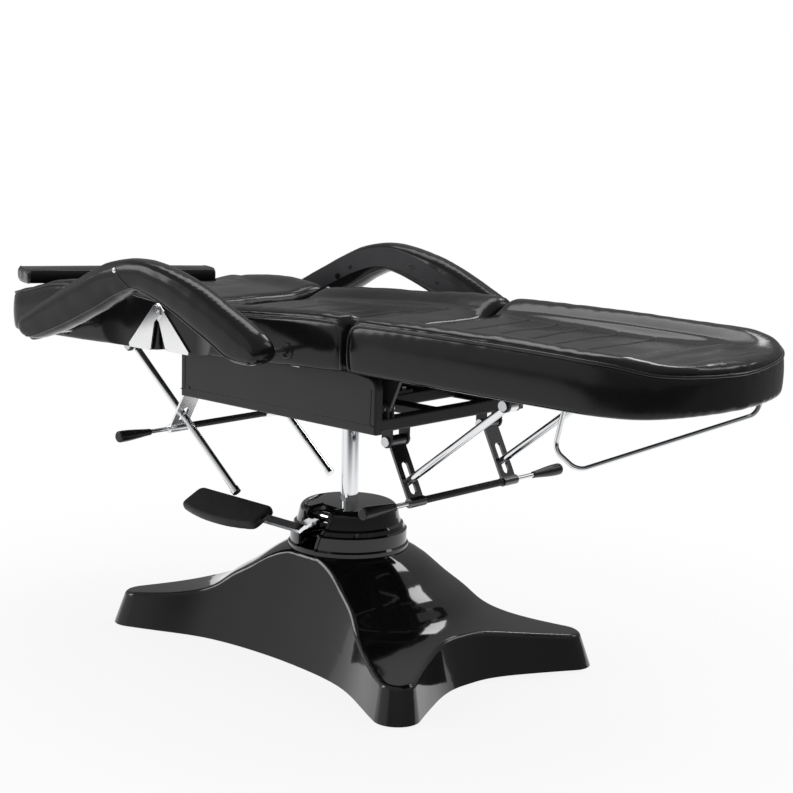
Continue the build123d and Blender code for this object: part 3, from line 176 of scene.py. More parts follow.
def smudge_group() -> Tree:
    """Broad handling marks that vary the roughness.

    Returns:
        The node group, from Vector, Scale, Low and High to a Value between the last two.
    """
    tree = new_group("handling_marks", "ShaderNodeTree",
                     {"Vector": "Vector", "Scale": "Float", "Low": "Float", "High": "Float"},
                     {"Value": "Float"})
    inp, out = made_node(tree, "NodeGroupInput"), made_node(tree, "NodeGroupOutput")
    broad = made_node(tree, "ShaderNodeTexNoise", {"Detail": 6.0, "Roughness": 0.6})
    spread = made_node(tree, "ShaderNodeMapRange", {"From Min": MARK_SPREAD[0], "From Max": MARK_SPREAD[1]})
    link = tree.links.new
    link(inp.outputs["Vector"], broad.inputs["Vector"])
    link(inp.outputs["Scale"], broad.inputs["Scale"])
    link(broad.outputs["Fac"], spread.inputs["Value"])
    link(inp.outputs["Low"], spread.inputs["To Min"])
    link(inp.outputs["High"], spread.inputs["To Max"])
    link(spread.outputs["Result"], out.inputs["Value"])
    return tree


@dataclass(frozen=True)
class Finish:
    """One finish of the chair, made as a node material.

    rough is the range of roughness; second, the colour that the first one varies towards.
    """

    name: str
    slot: str
    colour: Point
    rough: Pair
    metal: float = 0.0
    coat: float = 0.0
    coat_rough: float = 0.03
    grain_scale: float = 400.0
    grain_depth: float = 0.0
    grain_soft: float = 0.5
    mark_scale: float = 9.0
    wave_depth: float = 0.0
    wave_scale: float = 14.0
    second: Optional[Point] = None
    specular: float = 0.5

    def build(self, grain: Tree, marks: Tree) -> Material:
        """Makes the material.

        Args:
            grain: the surface grain group.
            marks: the handling marks group.

        Returns:
            The new material.
        """
        mat = bpy.data.materials.new(self.name)
        mat.use_nodes = True
        tree = mat.node_tree
        link = tree.links.new
        tree.nodes.clear()
        out = made_node(tree, "ShaderNodeOutputMaterial")
        shader = made_node(tree, "ShaderNodeBsdfPrincipled", {
            "Metallic": self.metal, "Coat Weight": self.coat, "Coat Roughness": self.coat_rough,
            "Specular IOR Level": self.specular})
        link(shader.outputs["BSDF"], out.inputs["Surface"])
        where = made_node(tree, "ShaderNodeTexCoord").outputs["Object"]
        wear = made_node(tree, "ShaderNodeGroup", {
            "Scale": self.mark_scale, "Low": self.rough[0], "High": self.rough[1]}, node_tree=marks)
        link(where, wear.inputs["Vector"])
        link(wear.outputs["Value"], shader.inputs["Roughness"])
        other = self.second or tuple(c * TINT_GAIN for c in self.colour)
        tint = made_node(tree, "ShaderNodeMix", {"A": (*self.colour, 1.0), "B": (*other, 1.0)},
                         data_type="RGBA")
        tone = made_node(tree, "ShaderNodeTexNoise", {"Scale": self.mark_scale * TONE_SHARE, "Detail": 5.0})
        link(where, tone.inputs["Vector"])
        link(tone.outputs["Fac"], tint.inputs["Factor"])
        link(tint.outputs["Result"], shader.inputs["Base Color"])
        layers: list[tuple[float, Node, str]] = []
        if self.wave_depth > 0:
            swell = made_node(tree, "ShaderNodeTexNoise", {"Scale": self.wave_scale, "Detail": 1.0})
            layers.append((self.wave_depth, swell, "Fac"))
        if self.grain_depth > 0:
            cells = made_node(tree, "ShaderNodeGroup", {
                "Scale": self.grain_scale, "Softness": self.grain_soft}, node_tree=grain)
            layers.append((self.grain_depth, cells, "Height"))
        last: Optional[Node] = None
        for depth, texture, height in layers:
            link(where, texture.inputs["Vector"])
            bump = made_node(tree, "ShaderNodeBump", {"Distance": depth})
            link(texture.outputs[height], bump.inputs["Height"])
            if last is not None:
                link(last.outputs["Normal"], bump.inputs["Normal"])
            last = bump
        if last is not None:
            link(last.outputs["Normal"], shader.inputs["Normal"])
        return mat


FINISHES: dict[str, Finish] = {
    "vinyl": Finish(
        "upholstery_vinyl", "vinyl", (0.0065, 0.0065, 0.007), (0.14, 0.2), coat=0.04, coat_rough=0.12,
        specular=0.27, grain_scale=620.0, grain_depth=0.000014, grain_soft=0.6, wave_depth=0.0007,
        wave_scale=12.0),
    "piping": Finish(
        "piping_vinyl", "vinyl", (0.006, 0.006, 0.0065), (0.16, 0.24), coat=0.15, coat_rough=0.1,
        specular=0.4, grain_scale=700.0, grain_depth=0.00004),
    "thread": Finish(
        "black_thread", "vinyl", (0.01, 0.01, 0.0105), (0.5, 0.65), specular=0.25,
        grain_scale=1500.0, grain_depth=0.0001),
    "gloss": Finish(
        "moulded_gloss_black", "base_gloss", (0.004, 0.004, 0.0045), (0.05, 0.09), coat=0.25, coat_rough=0.02,
        specular=0.42, mark_scale=3.0, wave_depth=0.0006, wave_scale=6.0),
    "paint": Finish(
        "satin_black_paint", "frame_black", (0.02, 0.02, 0.0215), (0.32, 0.42), specular=0.36, mark_scale=5.0,
        grain_scale=1300.0, grain_depth=0.00005, grain_soft=0.8),
    "chrome": Finish(
        "polished_chrome", "chrome", (0.83, 0.84, 0.86), (0.05, 0.1), metal=1.0, second=(0.78, 0.79, 0.81),
        mark_scale=22.0),
    "polished": Finish(
        "polished_plate", "steel_bright", (0.93, 0.93, 0.94), (0.24, 0.3), metal=1.0,
        second=(0.87, 0.875, 0.885), mark_scale=14.0, grain_scale=900.0, grain_depth=0.00002),
    "zinc": Finish(
        "zinc_plated_steel", "steel_bright", (0.66, 0.66, 0.68), (0.22, 0.32), metal=1.0,
        second=(0.58, 0.59, 0.61), mark_scale=40.0, grain_scale=900.0, grain_depth=0.00003),
    "smoked": Finish(
        "smoked_plate", "steel_bright", (0.16, 0.16, 0.165), (0.14, 0.22), metal=1.0,
        second=(0.12, 0.12, 0.125), mark_scale=18.0, grain_scale=900.0, grain_depth=0.00002),
    "dark_steel": Finish(
        "black_zinc", "steel_dark", (0.035, 0.035, 0.038), (0.28, 0.42), metal=0.35,
        grain_scale=1100.0, grain_depth=0.00005),
    "rubber": Finish(
        "black_rubber", "rubber", (0.01, 0.01, 0.0105), (0.42, 0.58), specular=0.35,
        grain_scale=700.0, grain_depth=0.0003, grain_soft=0.35),
    "grip": Finish(
        "lever_plastic", "rubber", (0.008, 0.008, 0.009), (0.22, 0.32), specular=0.4,
        grain_scale=800.0, grain_depth=0.00004),
    "lining": Finish(
        "black_lining_board", "wood", (0.02, 0.02, 0.021), (0.7, 0.85),
        grain_scale=700.0, grain_depth=0.0003, grain_soft=0.2),
}


class Finishes:
    """Every finish of the chair, built once."""

    def __init__(self) -> None:
        """Builds the shader groups and the materials."""
        grain, marks = grain_group(), smudge_group()
        self.made = {key: spec.build(grain, marks) for key, spec in FINISHES.items()}

    def paint_node(self, node: str, key: str) -> None:
        """Gives a carried-over CAD node its finish.

        Args:
            node: the CAD node's name.
            key: which finish.
        """
        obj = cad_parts[node]
        obj.data.materials.clear()
        obj.data.materials.append(self.made[key])

    def dress(self, obj: Obj, key: str, body: str) -> None:
        """Gives a new piece its finish and its body.

        Args:
            obj: the new piece.
            key: which finish.
            body: the CAD body it rides on.
        """
        obj.data.materials.clear()
        obj.data.materials.append(self.made[key])
        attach(obj, body)
        log.info("piece %s in %s on %s", obj.name, key, body)


# Mesh helpers

def smooth_step(a: float, b: float, x: float) -> float:
    """Smooth ramp from 0 at a to 1 at b."""
    t = min(1.0, max(0.0, (x - a) / (b - a)))
    return t * t * (3.0 - 2.0 * t)


def eased(stations: Table, x: float) -> float:
    """Value at x on a smooth curve through stations.

    Args:
        stations: pairs of place and value in rising order of place.
        x: where to read.

    Returns:
        The Catmull-Rom value, held at the ends.
    """
    if x <= stations[0][0]:
        return stations[0][1]
    if x >= stations[-1][0]:
        return stations[-1][1]
    for i in range(len(stations) - 1):
        if x <= stations[i + 1][0]:
            break
    x1, y1 = stations[i]
    x2, y2 = stations[i + 1]
    x0, y0 = stations[max(i - 1, 0)]
    x3, y3 = stations[min(i + 2, len(stations) - 1)]
    h = x2 - x1
    m1 = (y2 - y0) / (x2 - x0)
    m2 = (y3 - y1) / (x3 - x1)
    t = (x - x1) / h
    return ((2 * t ** 3 - 3 * t ** 2 + 1) * y1 + (t ** 3 - 2 * t ** 2 + t) * h * m1
            + (-2 * t ** 3 + 3 * t ** 2) * y2 + (t ** 3 - t ** 2) * h * m2)


def shaded(mesh: Mesh) -> None:
    """Smooth shading on every face."""
    for poly in mesh.polygons:
        poly.use_smooth = True


def linked(name: str, data: Data) -> Obj:
    """A new object of the scene that holds the data.

    Args:
        name: the object's name.
        data: its mesh, curve, camera or lamp.

    Returns:
        The object, linked to the scene.
    """
    obj = bpy.data.objects.new(name, data)
    bpy.context.scene.collection.objects.link(obj)
    return obj


def loft_faces(rings: int, size: int, closed: bool = False) -> list[tuple[int, ...]]:
    """Quads between rings of points, with a cap at each end unless the last ring meets the first.

    Args:
        rings: how many rings.
        size: points in each.
        closed: whether the last ring meets the first.

    Returns:
        Vertex numbers of each face.
    """
    faces: list[tuple[int, ...]] = []
    for i in range(rings if closed else rings - 1):
        here, then = i * size, (i + 1) % rings * size
        for j in range(size):
            k = (j + 1) % size
            faces.append((here + j, here + k, then + k, then + j))
    if not closed:
        faces.append(tuple(range(size)))
        faces.append(tuple((rings - 1) * size + j for j in range(size)))
    return faces


def mesh_object(name: str, verts: Sequence[Sequence[float]], faces: Sequence[Sequence[int]]) -> Obj:
    """A smooth-shaded mesh object at the origin with outward faces.

    Args:
        name: the piece's name.
        verts: vertex places in metres.
        faces: vertex numbers of each face.

    Returns:
        The linked object.
    """
    mesh = bpy.data.meshes.new(name)
    mesh.from_pydata([tuple(v) for v in verts], [], [tuple(f) for f in faces])
    bm = bmesh.new()
    bm.from_mesh(mesh)
    bmesh.ops.remove_doubles(bm, verts=bm.verts, dist=WELD)
    bmesh.ops.recalc_face_normals(bm, faces=bm.faces)
    bm.to_mesh(mesh)
    bm.free()
    shaded(mesh)
    return linked(name, mesh)


def evaluated_mesh(obj: Obj) -> Mesh:
    """A plain mesh of the object as its modifiers leave it.

    Args:
        obj: the object.

    Returns:
        The new mesh.
    """
    graph = bpy.context.evaluated_depsgraph_get()
    graph.update()
    return bpy.data.meshes.new_from_object(obj.evaluated_get(graph), depsgraph=graph)


def baked(obj: Obj) -> None:
    """Applies every modifier of a mesh piece.

    Args:
        obj: the piece.
    """
    mesh = evaluated_mesh(obj)
    obj.modifiers.clear()
    old = obj.data
    obj.data = mesh
    mesh.name = obj.name
    bpy.data.meshes.remove(old)


def remeshed(obj: Obj, name: str, voxel: float) -> None:
    """Gives a closed piece an even mesh.

    Args:
        obj: the piece.
        name: the modifier's name.
        voxel: its mesh size.
    """
    even = obj.modifiers.new(name, "REMESH")
    even.mode = "VOXEL"
    even.voxel_size = voxel
    baked(obj)


def tube(name: str, points: Sequence[Vector], radius: float, closed: bool = False,
         sides: int = 10) -> Obj:
    """A round cord along points, with rounded ends.

    Args:
        name: the piece's name.
        points: the middle of the cord.
        radius: its radius.
        closed: whether it is a ring.
        sides: faces around.

    Returns:
        The mesh object.
    """
    verts: list[Vector] = []
    count = len(points)
    normal = Vector((0, 0, 1))
    for i, p in enumerate(points):
        a = points[(i - 1) % count] if closed or i > 0 else p
        b = points[(i + 1) % count] if closed or i < count - 1 else p
        tangent = (b - a).normalized()
        side = tangent.cross(normal)
        if side.length < 1e-4:
            side = tangent.cross(Vector((0, 1, 0)))
        side.normalize()
        normal = side.cross(tangent).normalized()
        scale = TIP_SHARE if not closed and i in (0, count - 1) else 1.0
        for j in range(sides):
            angle = 2 * math.pi * j / sides
            verts.append(p + (side * math.cos(angle) + normal * math.sin(angle)) * radius * scale)
    return mesh_object(name, verts, loft_faces(count, sides, closed))


def resample(points: Sequence[Vector], step: float) -> list[Vector]:
    """Points at even spacing on a smooth curve through the given ones.

    Args:
        points: the curve's points.
        step: the spacing in metres.

    Returns:
        The new points.
    """
    fine: list[Vector] = []
    count = len(points)
    for i in range(count - 1):
        p0, p1 = points[max(i - 1, 0)], points[i]
        p2, p3 = points[i + 1], points[min(i + 2, count - 1)]
        for k in range(12):
            t = k / 12
            fine.append(0.5 * ((2 * p1) + (p2 - p0) * t + (2 * p0 - 5 * p1 + 4 * p2 - p3) * t * t
                               + (3 * p1 - p0 - 3 * p2 + p3) * t ** 3))
    fine.append(points[-1].copy())
    out = [fine[0]]
    gone = 0.0
    for a, b in zip(fine, fine[1:]):
        gone += (b - a).length
        if gone >= step:
            out.append(b)
            gone = 0.0
    if (out[-1] - fine[-1]).length > 1e-6:
        out.append(fine[-1])
    return out


# Padded pieces

COVER_CLOTH = {
    "quality": 5, "mass": 0.4, "tension_stiffness": 22.0, "compression_stiffness": 12.0,
    "shear_stiffness": 8.0, "bending_stiffness": 1.2, "use_pressure": True,
}


@dataclass(frozen=True)
class Relief:
    """Depths and widths of what is sewn and creased into a cushion's cover."""

    channel: float = 0.0011
    channel_width: float = 0.0032
    valley: float = 0.0005
    valley_width: float = 0.012
    channel_near: float = 0.03
    swell: float = 0.0022
    pull: float = 0.0011
    tuck: float = 0.0022
    tuck_width: float = 0.0055
    pucker: float = 0.0007
    upward: Pair = (0.2, 0.7)
    depth: float = 0.05
    fade: float = 0.02
    pull_band: Pair = (0.09, 0.02)
    rim: Pair = (0.02, 0.008)
    middle: float = 0.05
    bow: float = 0.006
    bow_rate: float = 9.0
    waver: float = 0.002
    waver_rate: float = 31.0
    waver_shift: float = 40.0
    swell_rates: Point = (7.0, 11.0, 3.1)
    pull_rates: Point = (34.0, 5.0, 1.7)
    pucker_rates: Pair = (42.0, 9.0)


@dataclass
class Padding:
    """How a stuffed piece is blown up by the cloth simulation."""

    voxel: float = 0.006
    pressure: float = 4.0
    cap: float = 0.006
    frames: int = 20

    def inflate(self, obj: Obj, held: Callable[[Vector], float]) -> None:
        """Remeshes the piece, simulates its cover and applies the capped result.

        Args:
            obj: the piece, a closed mesh.
            held: how firmly a point is held, from 0, free, to 1, fixed.
        """
        remeshed(obj, "even", self.voxel)
        start = [v.co.copy() for v in obj.data.vertices]
        group = obj.vertex_groups.new(name="held")
        for v in obj.data.vertices:
            group.add([v.index], held(v.co), "REPLACE")
        cloth = obj.modifiers.new("cover", "CLOTH")
        setting = cloth.settings
        for key, value in COVER_CLOTH.items():
            setattr(setting, key, value)
        setting.uniform_pressure_force = self.pressure
        setting.vertex_group_mass = "held"
        setting.effector_weights.gravity = 0.0
        cloth.collision_settings.use_collision = False
        cloth.point_cache.frame_start = 1
        cloth.point_cache.frame_end = self.frames
        scene = bpy.context.scene
        for number in range(1, self.frames + 1):
            scene.frame_set(number)
        graph = bpy.context.evaluated_depsgraph_get()
        moved = [v.co.copy() for v in obj.evaluated_get(graph).data.vertices]
        obj.modifiers.clear()
        for v, a, b in zip(obj.data.vertices, start, moved):
            shift = b - a
            if shift.length > self.cap:
                shift = shift.normalized() * self.cap
            v.co = a + shift
        obj.vertex_groups.clear()
        scene.frame_set(1)


def noise_at(p: Vector, rates: Point) -> float:
    """Noise at a point, with a rate along each axis."""
    return noise.noise(Vector((p.x * rates[0], p.y * rates[1], p.z * rates[2])))


def smoothed(obj: Obj, rounds: int) -> None:
    """Relaxes a mesh in place.

    Args:
        obj: the piece.
        rounds: how many passes.
    """
    bm = bmesh.new()
    bm.from_mesh(obj.data)
    for _ in range(rounds):
        bmesh.ops.smooth_vert(bm, verts=bm.verts, factor=0.5, use_axis_x=True, use_axis_y=True,
                              use_axis_z=True)
    bm.to_mesh(obj.data)
    bm.free()


def pushed(obj: Obj, depth: Callable[[Vector, Vector], float]) -> None:
    """Moves every point of a mesh along its own normal.

    Args:
        obj: the piece.
        depth: how far a point of a given place and normal moves out.
    """
    mesh = obj.data
    normals = [v.normal.copy() for v in mesh.vertices]
    places = [v.co.copy() for v in mesh.vertices]
    for v, p, n in zip(mesh.vertices, places, normals):
        v.co = p + n * depth(p, n)
    mesh.update()


def subdivided(obj: Obj) -> None:
    """One level of subdivision, applied.

    Args:
        obj: the piece.
    """
    sub = obj.modifiers.new("fine", "SUBSURF")
    sub.levels = 1
    sub.render_levels = 1
    baked(obj)
    shaded(obj.data)


def hugging(obj: Obj, line: Sequence[Vector], proud: float, reach: float = 0.02) -> list[Vector]:
    """A cord's middle line, moved onto its cover.

    Args:
        obj: the cover.
        line: the planned line.
        proud: how far outside the cover the middle of the cord lies.
        reach: the furthest that a point is moved.

    Returns:
        The line on the cover.
    """
    out: list[Vector] = []
    for p in line:
        found, spot, normal, _ = obj.closest_point_on_mesh(p)
        close = found and (spot - p).length < reach
        out.append(Vector(spot) + Vector(normal) * proud if close else Vector(p))
    for _ in range(2):
        out = [out[0]] + [(a + b * 2 + c) / 4 for a, b, c in zip(out, out[1:], out[2:])] + [out[-1]]
    return out


@dataclass(frozen=True)
class Underside:
    """Flat underside of a cushion, from its height at a place and its slope."""

    height: float
    slope: float = 0.0
    place: float = 0.0

    def __call__(self, x: float) -> float:
        """Height at x."""
        return self.height + self.slope * (x - self.place)


@dataclass
class Cushion:
    """One piped cushion of the bed: a crowned cover over foam on a board.

    Sizes are in metres. crest, dish, width and base are read along X.
    """

    name: str
    node: str
    body: str
    ends: Pair
    base: Underside
    crest: Table
    dish: Table
    width: Table
    seam_ends: tuple[bool, bool]
    channels: Sequence[float] = ()
    channel_reach: float = 0.150
    drops: Table = ((0.0, 0.015),)
    far_drops: Table = ((0.0, 0.0),)
    dish_edge: float = 0.150
    dish_inner: float = 0.16
    dish_full: float = 0.2
    edge_full: float = 0.26
    shoulder: float = 0.034
    edge_round: float = 0.024
    fill: float = 0.85
    flank: float = 0.0015
    seam_inset: float = 0.0045
    corner_gap: float = 0.026
    foot: float = 0.007
    lip: Pair = (0.004, 0.002)
    under_inset: float = 0.012
    belly: float = 0.0045
    lean: float = 0.002
    least_half: float = 0.004
    end_half: float = 0.55
    cord_inset: float = 0.0035
    joint_inset: float = 0.012
    joint_bend: float = 0.02
    padding: Padding = field(default_factory=Padding)
    relief: Relief = Relief()
    seed: float = 0.0

    def half_width(self, x: float) -> float:
        """Half width of the cover at x, drawn in at its ends.

        Args:
            x: the place along the chair.

        Returns:
            The half width.
        """
        w = eased(self.width, x)
        for end, is_seam in zip(self.ends, self.seam_ends):
            if is_seam:
                near = abs(x - end)
                if near < self.edge_round:
                    r = self.edge_round * self.end_half
                    gap = max(0.0, 1 - near / r)
                    w -= r * (1 - math.sqrt(max(0.0, 1 - gap * gap)))
        return w

    def top(self, x: float) -> float:
        """Height of the bolster's crest at x.

        Args:
            x: the place along the chair.

        Returns:
            The height.
        """
        z = eased(self.crest, x)
        for end, is_seam in zip(self.ends, self.seam_ends):
            if is_seam:
                gap = max(0.0, 1 - abs(x - end) / self.edge_round)
                z -= self.edge_round * (1 - math.sqrt(max(0.0, 1 - gap * gap)))
        return z

    def drop(self, x: float) -> float:
        """How far the piping lies under the crest at x."""
        return eased(self.drops, x)

    def section(self, x: float) -> list[Vector]:
        """Closed cross-section of the cover at x.

        Args:
            x: the place along the chair.

        Returns:
            Points from the middle of the underside round by the far side.
        """
        w = max(self.half_width(x), self.least_half)
        z0 = self.base(x)
        zc = self.top(x)
        drop = self.drop(x)
        zp = zc - drop
        tall = zp - z0
        inset = min(self.shoulder, w * 0.5)
        dish = eased(self.dish, x) * min(1.0, w / self.dish_full)
        half: list[tuple[float, float]] = []
        flat = max(w - self.under_inset, 0.001)
        for k in range(10):
            half.append((flat * k / 10, z0))
        half.append((flat, z0))
        half.append((w - self.lip[0], z0 + self.lip[1]))
        half.append((w - self.flank, z0 + self.foot))
        for k in range(1, 9):
            t = k / 9
            half.append((w - self.flank + self.belly * math.sin(math.pi * t) - self.lean * t,
                         z0 + self.foot + (tall - self.foot) * t))
        half.append((w - self.seam_inset, zp))
        for k in range(1, 9):
            a = math.pi / 2 * k / 9
            half.append((w - self.seam_inset - inset * (1 - math.cos(a)), zp + drop * math.sin(a)))
        inner = w - self.seam_inset - inset
        scale = min(1.0, w / self.edge_full)
        for k in range(15):
            y = inner * (1 - k / 14)
            roll = smooth_step(self.dish_edge * scale, max(inner, self.dish_inner * scale), y)
            half.append((y, zc - dish * (1 - roll)))
        points = [Vector((x, y, z)) for y, z in half]
        back = [Vector((x, -p.y, p.z)) for p in reversed(points[1:-1])]
        sunk = eased(self.far_drops, x)
        if sunk > 0:
            for p in points + back:
                share = smooth_step(*FAR_RAMP, p.y) * smooth_step(z0 + 0.01, zp, p.z)
                p.z -= sunk * share
        return points + back

    def stations(self) -> list[float]:
        """Places along X, closer together at the ends.

        Returns:
            The places in rising order.
        """
        a, b = self.ends
        step = 0.008
        count = int((b - a) / step)
        places = [a + (b - a) * i / count for i in range(count + 1)]
        fine = [0.0004, 0.0015, 0.003, 0.005]
        return sorted(set([a + f for f in fine] + [b - f for f in fine] + places))

    def channel_line(self, place: float, y: float) -> float:
        """Where the sewn channel at a place runs at y, a little bowed and uneven.

        Args:
            place: the channel's place along the chair.
            y: how far across.

        Returns:
            Its X there.
        """
        cut = self.relief
        return (place + cut.bow * math.cos(y * cut.bow_rate)
                + cut.waver * math.sin(y * cut.waver_rate + place * cut.waver_shift))

    def wave(self, x: float, y: float, rates: Point) -> float:
        """Noise over the cover, from its rate along X, its rate along Y and its level."""
        return noise.noise(Vector((x * rates[0] + self.seed, y * rates[1], rates[2])))

    def form(self) -> Obj:
        """The closed cover before its seams.

        Returns:
            The mesh object.
        """
        rings = [self.section(x) for x in self.stations()]
        points = [p for ring in rings for p in ring]
        return mesh_object(self.name, points, loft_faces(len(rings), len(rings[0])))

    def piping_paths(self) -> list[list[Vector]]:
        """Where the piping cord runs: along each side, round a free end, and down at the joints.

        Returns:
            The middle line of each cord.
        """
        a, b = self.ends

        def edge(x: float, side: float) -> Vector:
            """Middle of the cord on a long side.

            Args:
                x: the place along the chair.
                side: -1 for the near side, 1 for the far one.

            Returns:
                The point.
            """
            w = max(self.half_width(x), 0.0)
            y = side * (w - self.cord_inset)
            sunk = eased(self.far_drops, x) * smooth_step(*FAR_RAMP, y)
            return Vector((x, y, self.top(x) - self.drop(x) - sunk))

        def down(end: float, side: float, way: float) -> list[Vector]:
            """Middle of the cord that runs up a corner at a joint.

            Args:
                end: the cushion's end.
                side: -1 for the near side, 1 for the far one.
                way: 1 where the cushion lies beyond that end along X, -1 where it lies before it.

            Returns:
                The points, from the underside up.
            """
            w = self.half_width(end + way * self.joint_inset)
            high = eased(self.crest, end) - self.drop(end)
            low = self.base(end)
            bend = self.edge_round
            points = []
            for k in range(7):
                t = k / 6
                points.append(Vector((end + way * self.seam_inset, side * (w - 0.001),
                                      low + (high - bend - low) * t)))
            for k in range(1, 6):
                ang = math.pi / 2 * k / 6
                points.append(Vector((end + way * (self.seam_inset + self.joint_bend * (1 - math.cos(ang))),
                                      side * (w - 0.0005), high - bend + bend * math.sin(ang))))
            return points

        count = 46
        runs: list[list[Vector]] = []
        first, last = (end + way * self.corner_gap if is_seam else end
                       for end, way, is_seam in zip((a, b), (1, -1), self.seam_ends))
        shares = [i / count if all(self.seam_ends) else 0.5 * (1 - math.cos(math.pi * i / count))
                  for i in range(count + 1)]
        xs = [first + (last - first) * share for share in shares]
        near = [edge(x, -1.0) for x in xs]
        far = [edge(x, 1.0) for x in xs]
        if self.seam_ends == (True, True):
            runs.append(down(a, -1.0, 1.0) + near + list(reversed(down(b, -1.0, -1.0))))
            runs.append(down(a, 1.0, 1.0) + far + list(reversed(down(b, 1.0, -1.0))))
        elif self.seam_ends[0]:
            runs.append(down(a, -1.0, 1.0) + near[:-1] + list(reversed(far[:-1]))
                        + list(reversed(down(a, 1.0, 1.0))))
        else:
            runs.append(down(b, -1.0, -1.0) + list(reversed(near[1:])) + far[1:]
                        + list(reversed(down(b, 1.0, -1.0))))
        return runs

    def detail(self, obj: Obj) -> None:
        """Sewn channels, pulls at the piping and soft creases, by moving the cover's points.

        Args:
            obj: the cover after its padding.
        """
        mesh = obj.data
        cut = self.relief
        normals = [v.normal.copy() for v in mesh.vertices]
        a, b = self.ends
        for v, n in zip(mesh.vertices, normals):
            x, y, z = v.co
            w = self.half_width(min(max(x, a), b))
            crest = self.top(min(max(x, a), b))
            drop = self.drop(x)
            move = 0.0
            upper = smooth_step(*cut.upward, n.z)
            if upper > 0 and z > crest - cut.depth:
                for place in self.channels:
                    gap = x - self.channel_line(place, y)
                    reach = smooth_step(self.channel_reach + cut.fade, self.channel_reach - cut.fade, abs(y))
                    if abs(gap) < cut.channel_near and reach > 0:
                        move -= cut.channel * math.exp(-(gap / cut.channel_width) ** 2) * reach * upper
                        move -= cut.valley * math.exp(-(gap / cut.valley_width) ** 2) * reach * upper
                move += cut.swell * self.wave(x, y, cut.swell_rates) * upper
                edge_near = smooth_step(w - cut.pull_band[0], w - cut.pull_band[1], abs(y))
                move += cut.pull * self.wave(x, y, cut.pull_rates) * edge_near * upper
            band = (1 - abs(n.z)) * smooth_step(crest - cut.depth, crest - drop, z)
            tuck = math.exp(-((z - (crest - drop)) / cut.tuck_width) ** 2)
            if abs(y) > cut.middle:
                outer = smooth_step(w - cut.rim[0], w - cut.rim[1], abs(y))
            else:
                outer = smooth_step(a + cut.rim[0], a, x)
            move -= cut.tuck * tuck * outer
            if band > 0.01:
                round_rate, up_rate = cut.pucker_rates
                pucker = noise.noise(Vector((x * round_rate, y * round_rate, z * up_rate + self.seed)))
                move += cut.pucker * pucker * band
            v.co += n * move
        mesh.update()

    def build(self, finishes: Finishes) -> None:
        """Makes the cover and its piping.

        Args:
            finishes: the chair's finishes.
        """
        obj = self.form()

        def held(p: Vector) -> float:
            """How firmly the cover is held at a point.

            Args:
                p: the point.

            Returns:
                From 0, free, to 1, fixed.
            """
            x = min(max(p.x, self.ends[0]), self.ends[1])
            seam = abs(p.z - (self.top(x) - self.drop(x)))
            under = 1.0 if p.z < self.base(x) + HELD_UNDER else 0.0
            ends = [1.0 - smooth_step(0.0, HELD_END, abs(p.x - end))
                    for end, is_seam in zip(self.ends, self.seam_ends) if is_seam]
            rim = 1.0 - smooth_step(*HELD_SEAM, seam)
            return max([under, rim] + ends)

        self.padding.inflate(obj, held)
        smoothed(obj, 3)
        subdivided(obj)
        self.detail(obj)
        self.clear_leaves(obj)
        finishes.dress(obj, "vinyl", self.body)
        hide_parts(self.node)
        log.info("cover %s swells at most %.0f mm", self.name, self.padding.cap * 1000)
        for number, path in enumerate(self.piping_paths()):
            line = hugging(obj, resample(path, CORD_STEP), CORD_PROUD)
            line = [behind_leaves(p, CORD_MARGIN) for p in line]
            cord = tube(f"{self.name}_piping_{number}", line, CORD_RADIUS)
            finishes.dress(cord, "piping", self.body)

    def clear_leaves(self, obj: Obj) -> None:
        """Draws the cover in behind the back hinge plates.

        Args:
            obj: the cover.
        """
        for v in obj.data.vertices:
            v.co = behind_leaves(v.co, 0.0)
        obj.data.update()


def behind_leaves(p: Vector, margin: float) -> Vector:
    """The point, moved in where the back hinge plates cover the cushions' sides.

    Args:
        p: a point of a cover or the middle of its piping.
        margin: how much further in it goes, such as a cord's radius.

    Returns:
        The point itself or one behind the plates.
    """
    rear, front = LEAF_REACH
    inside = smooth_step(*rear, p.x) * smooth_step(*front, p.x) * smooth_step(*LEAF_TOP, p.z)
    limit = LEAF_INNER_FACE - margin + BESIDE_LEAVES * (1 - inside)
    if abs(p.y) > limit:
        return Vector((p.x, math.copysign(limit, p.y), p.z))
    return Vector(p)


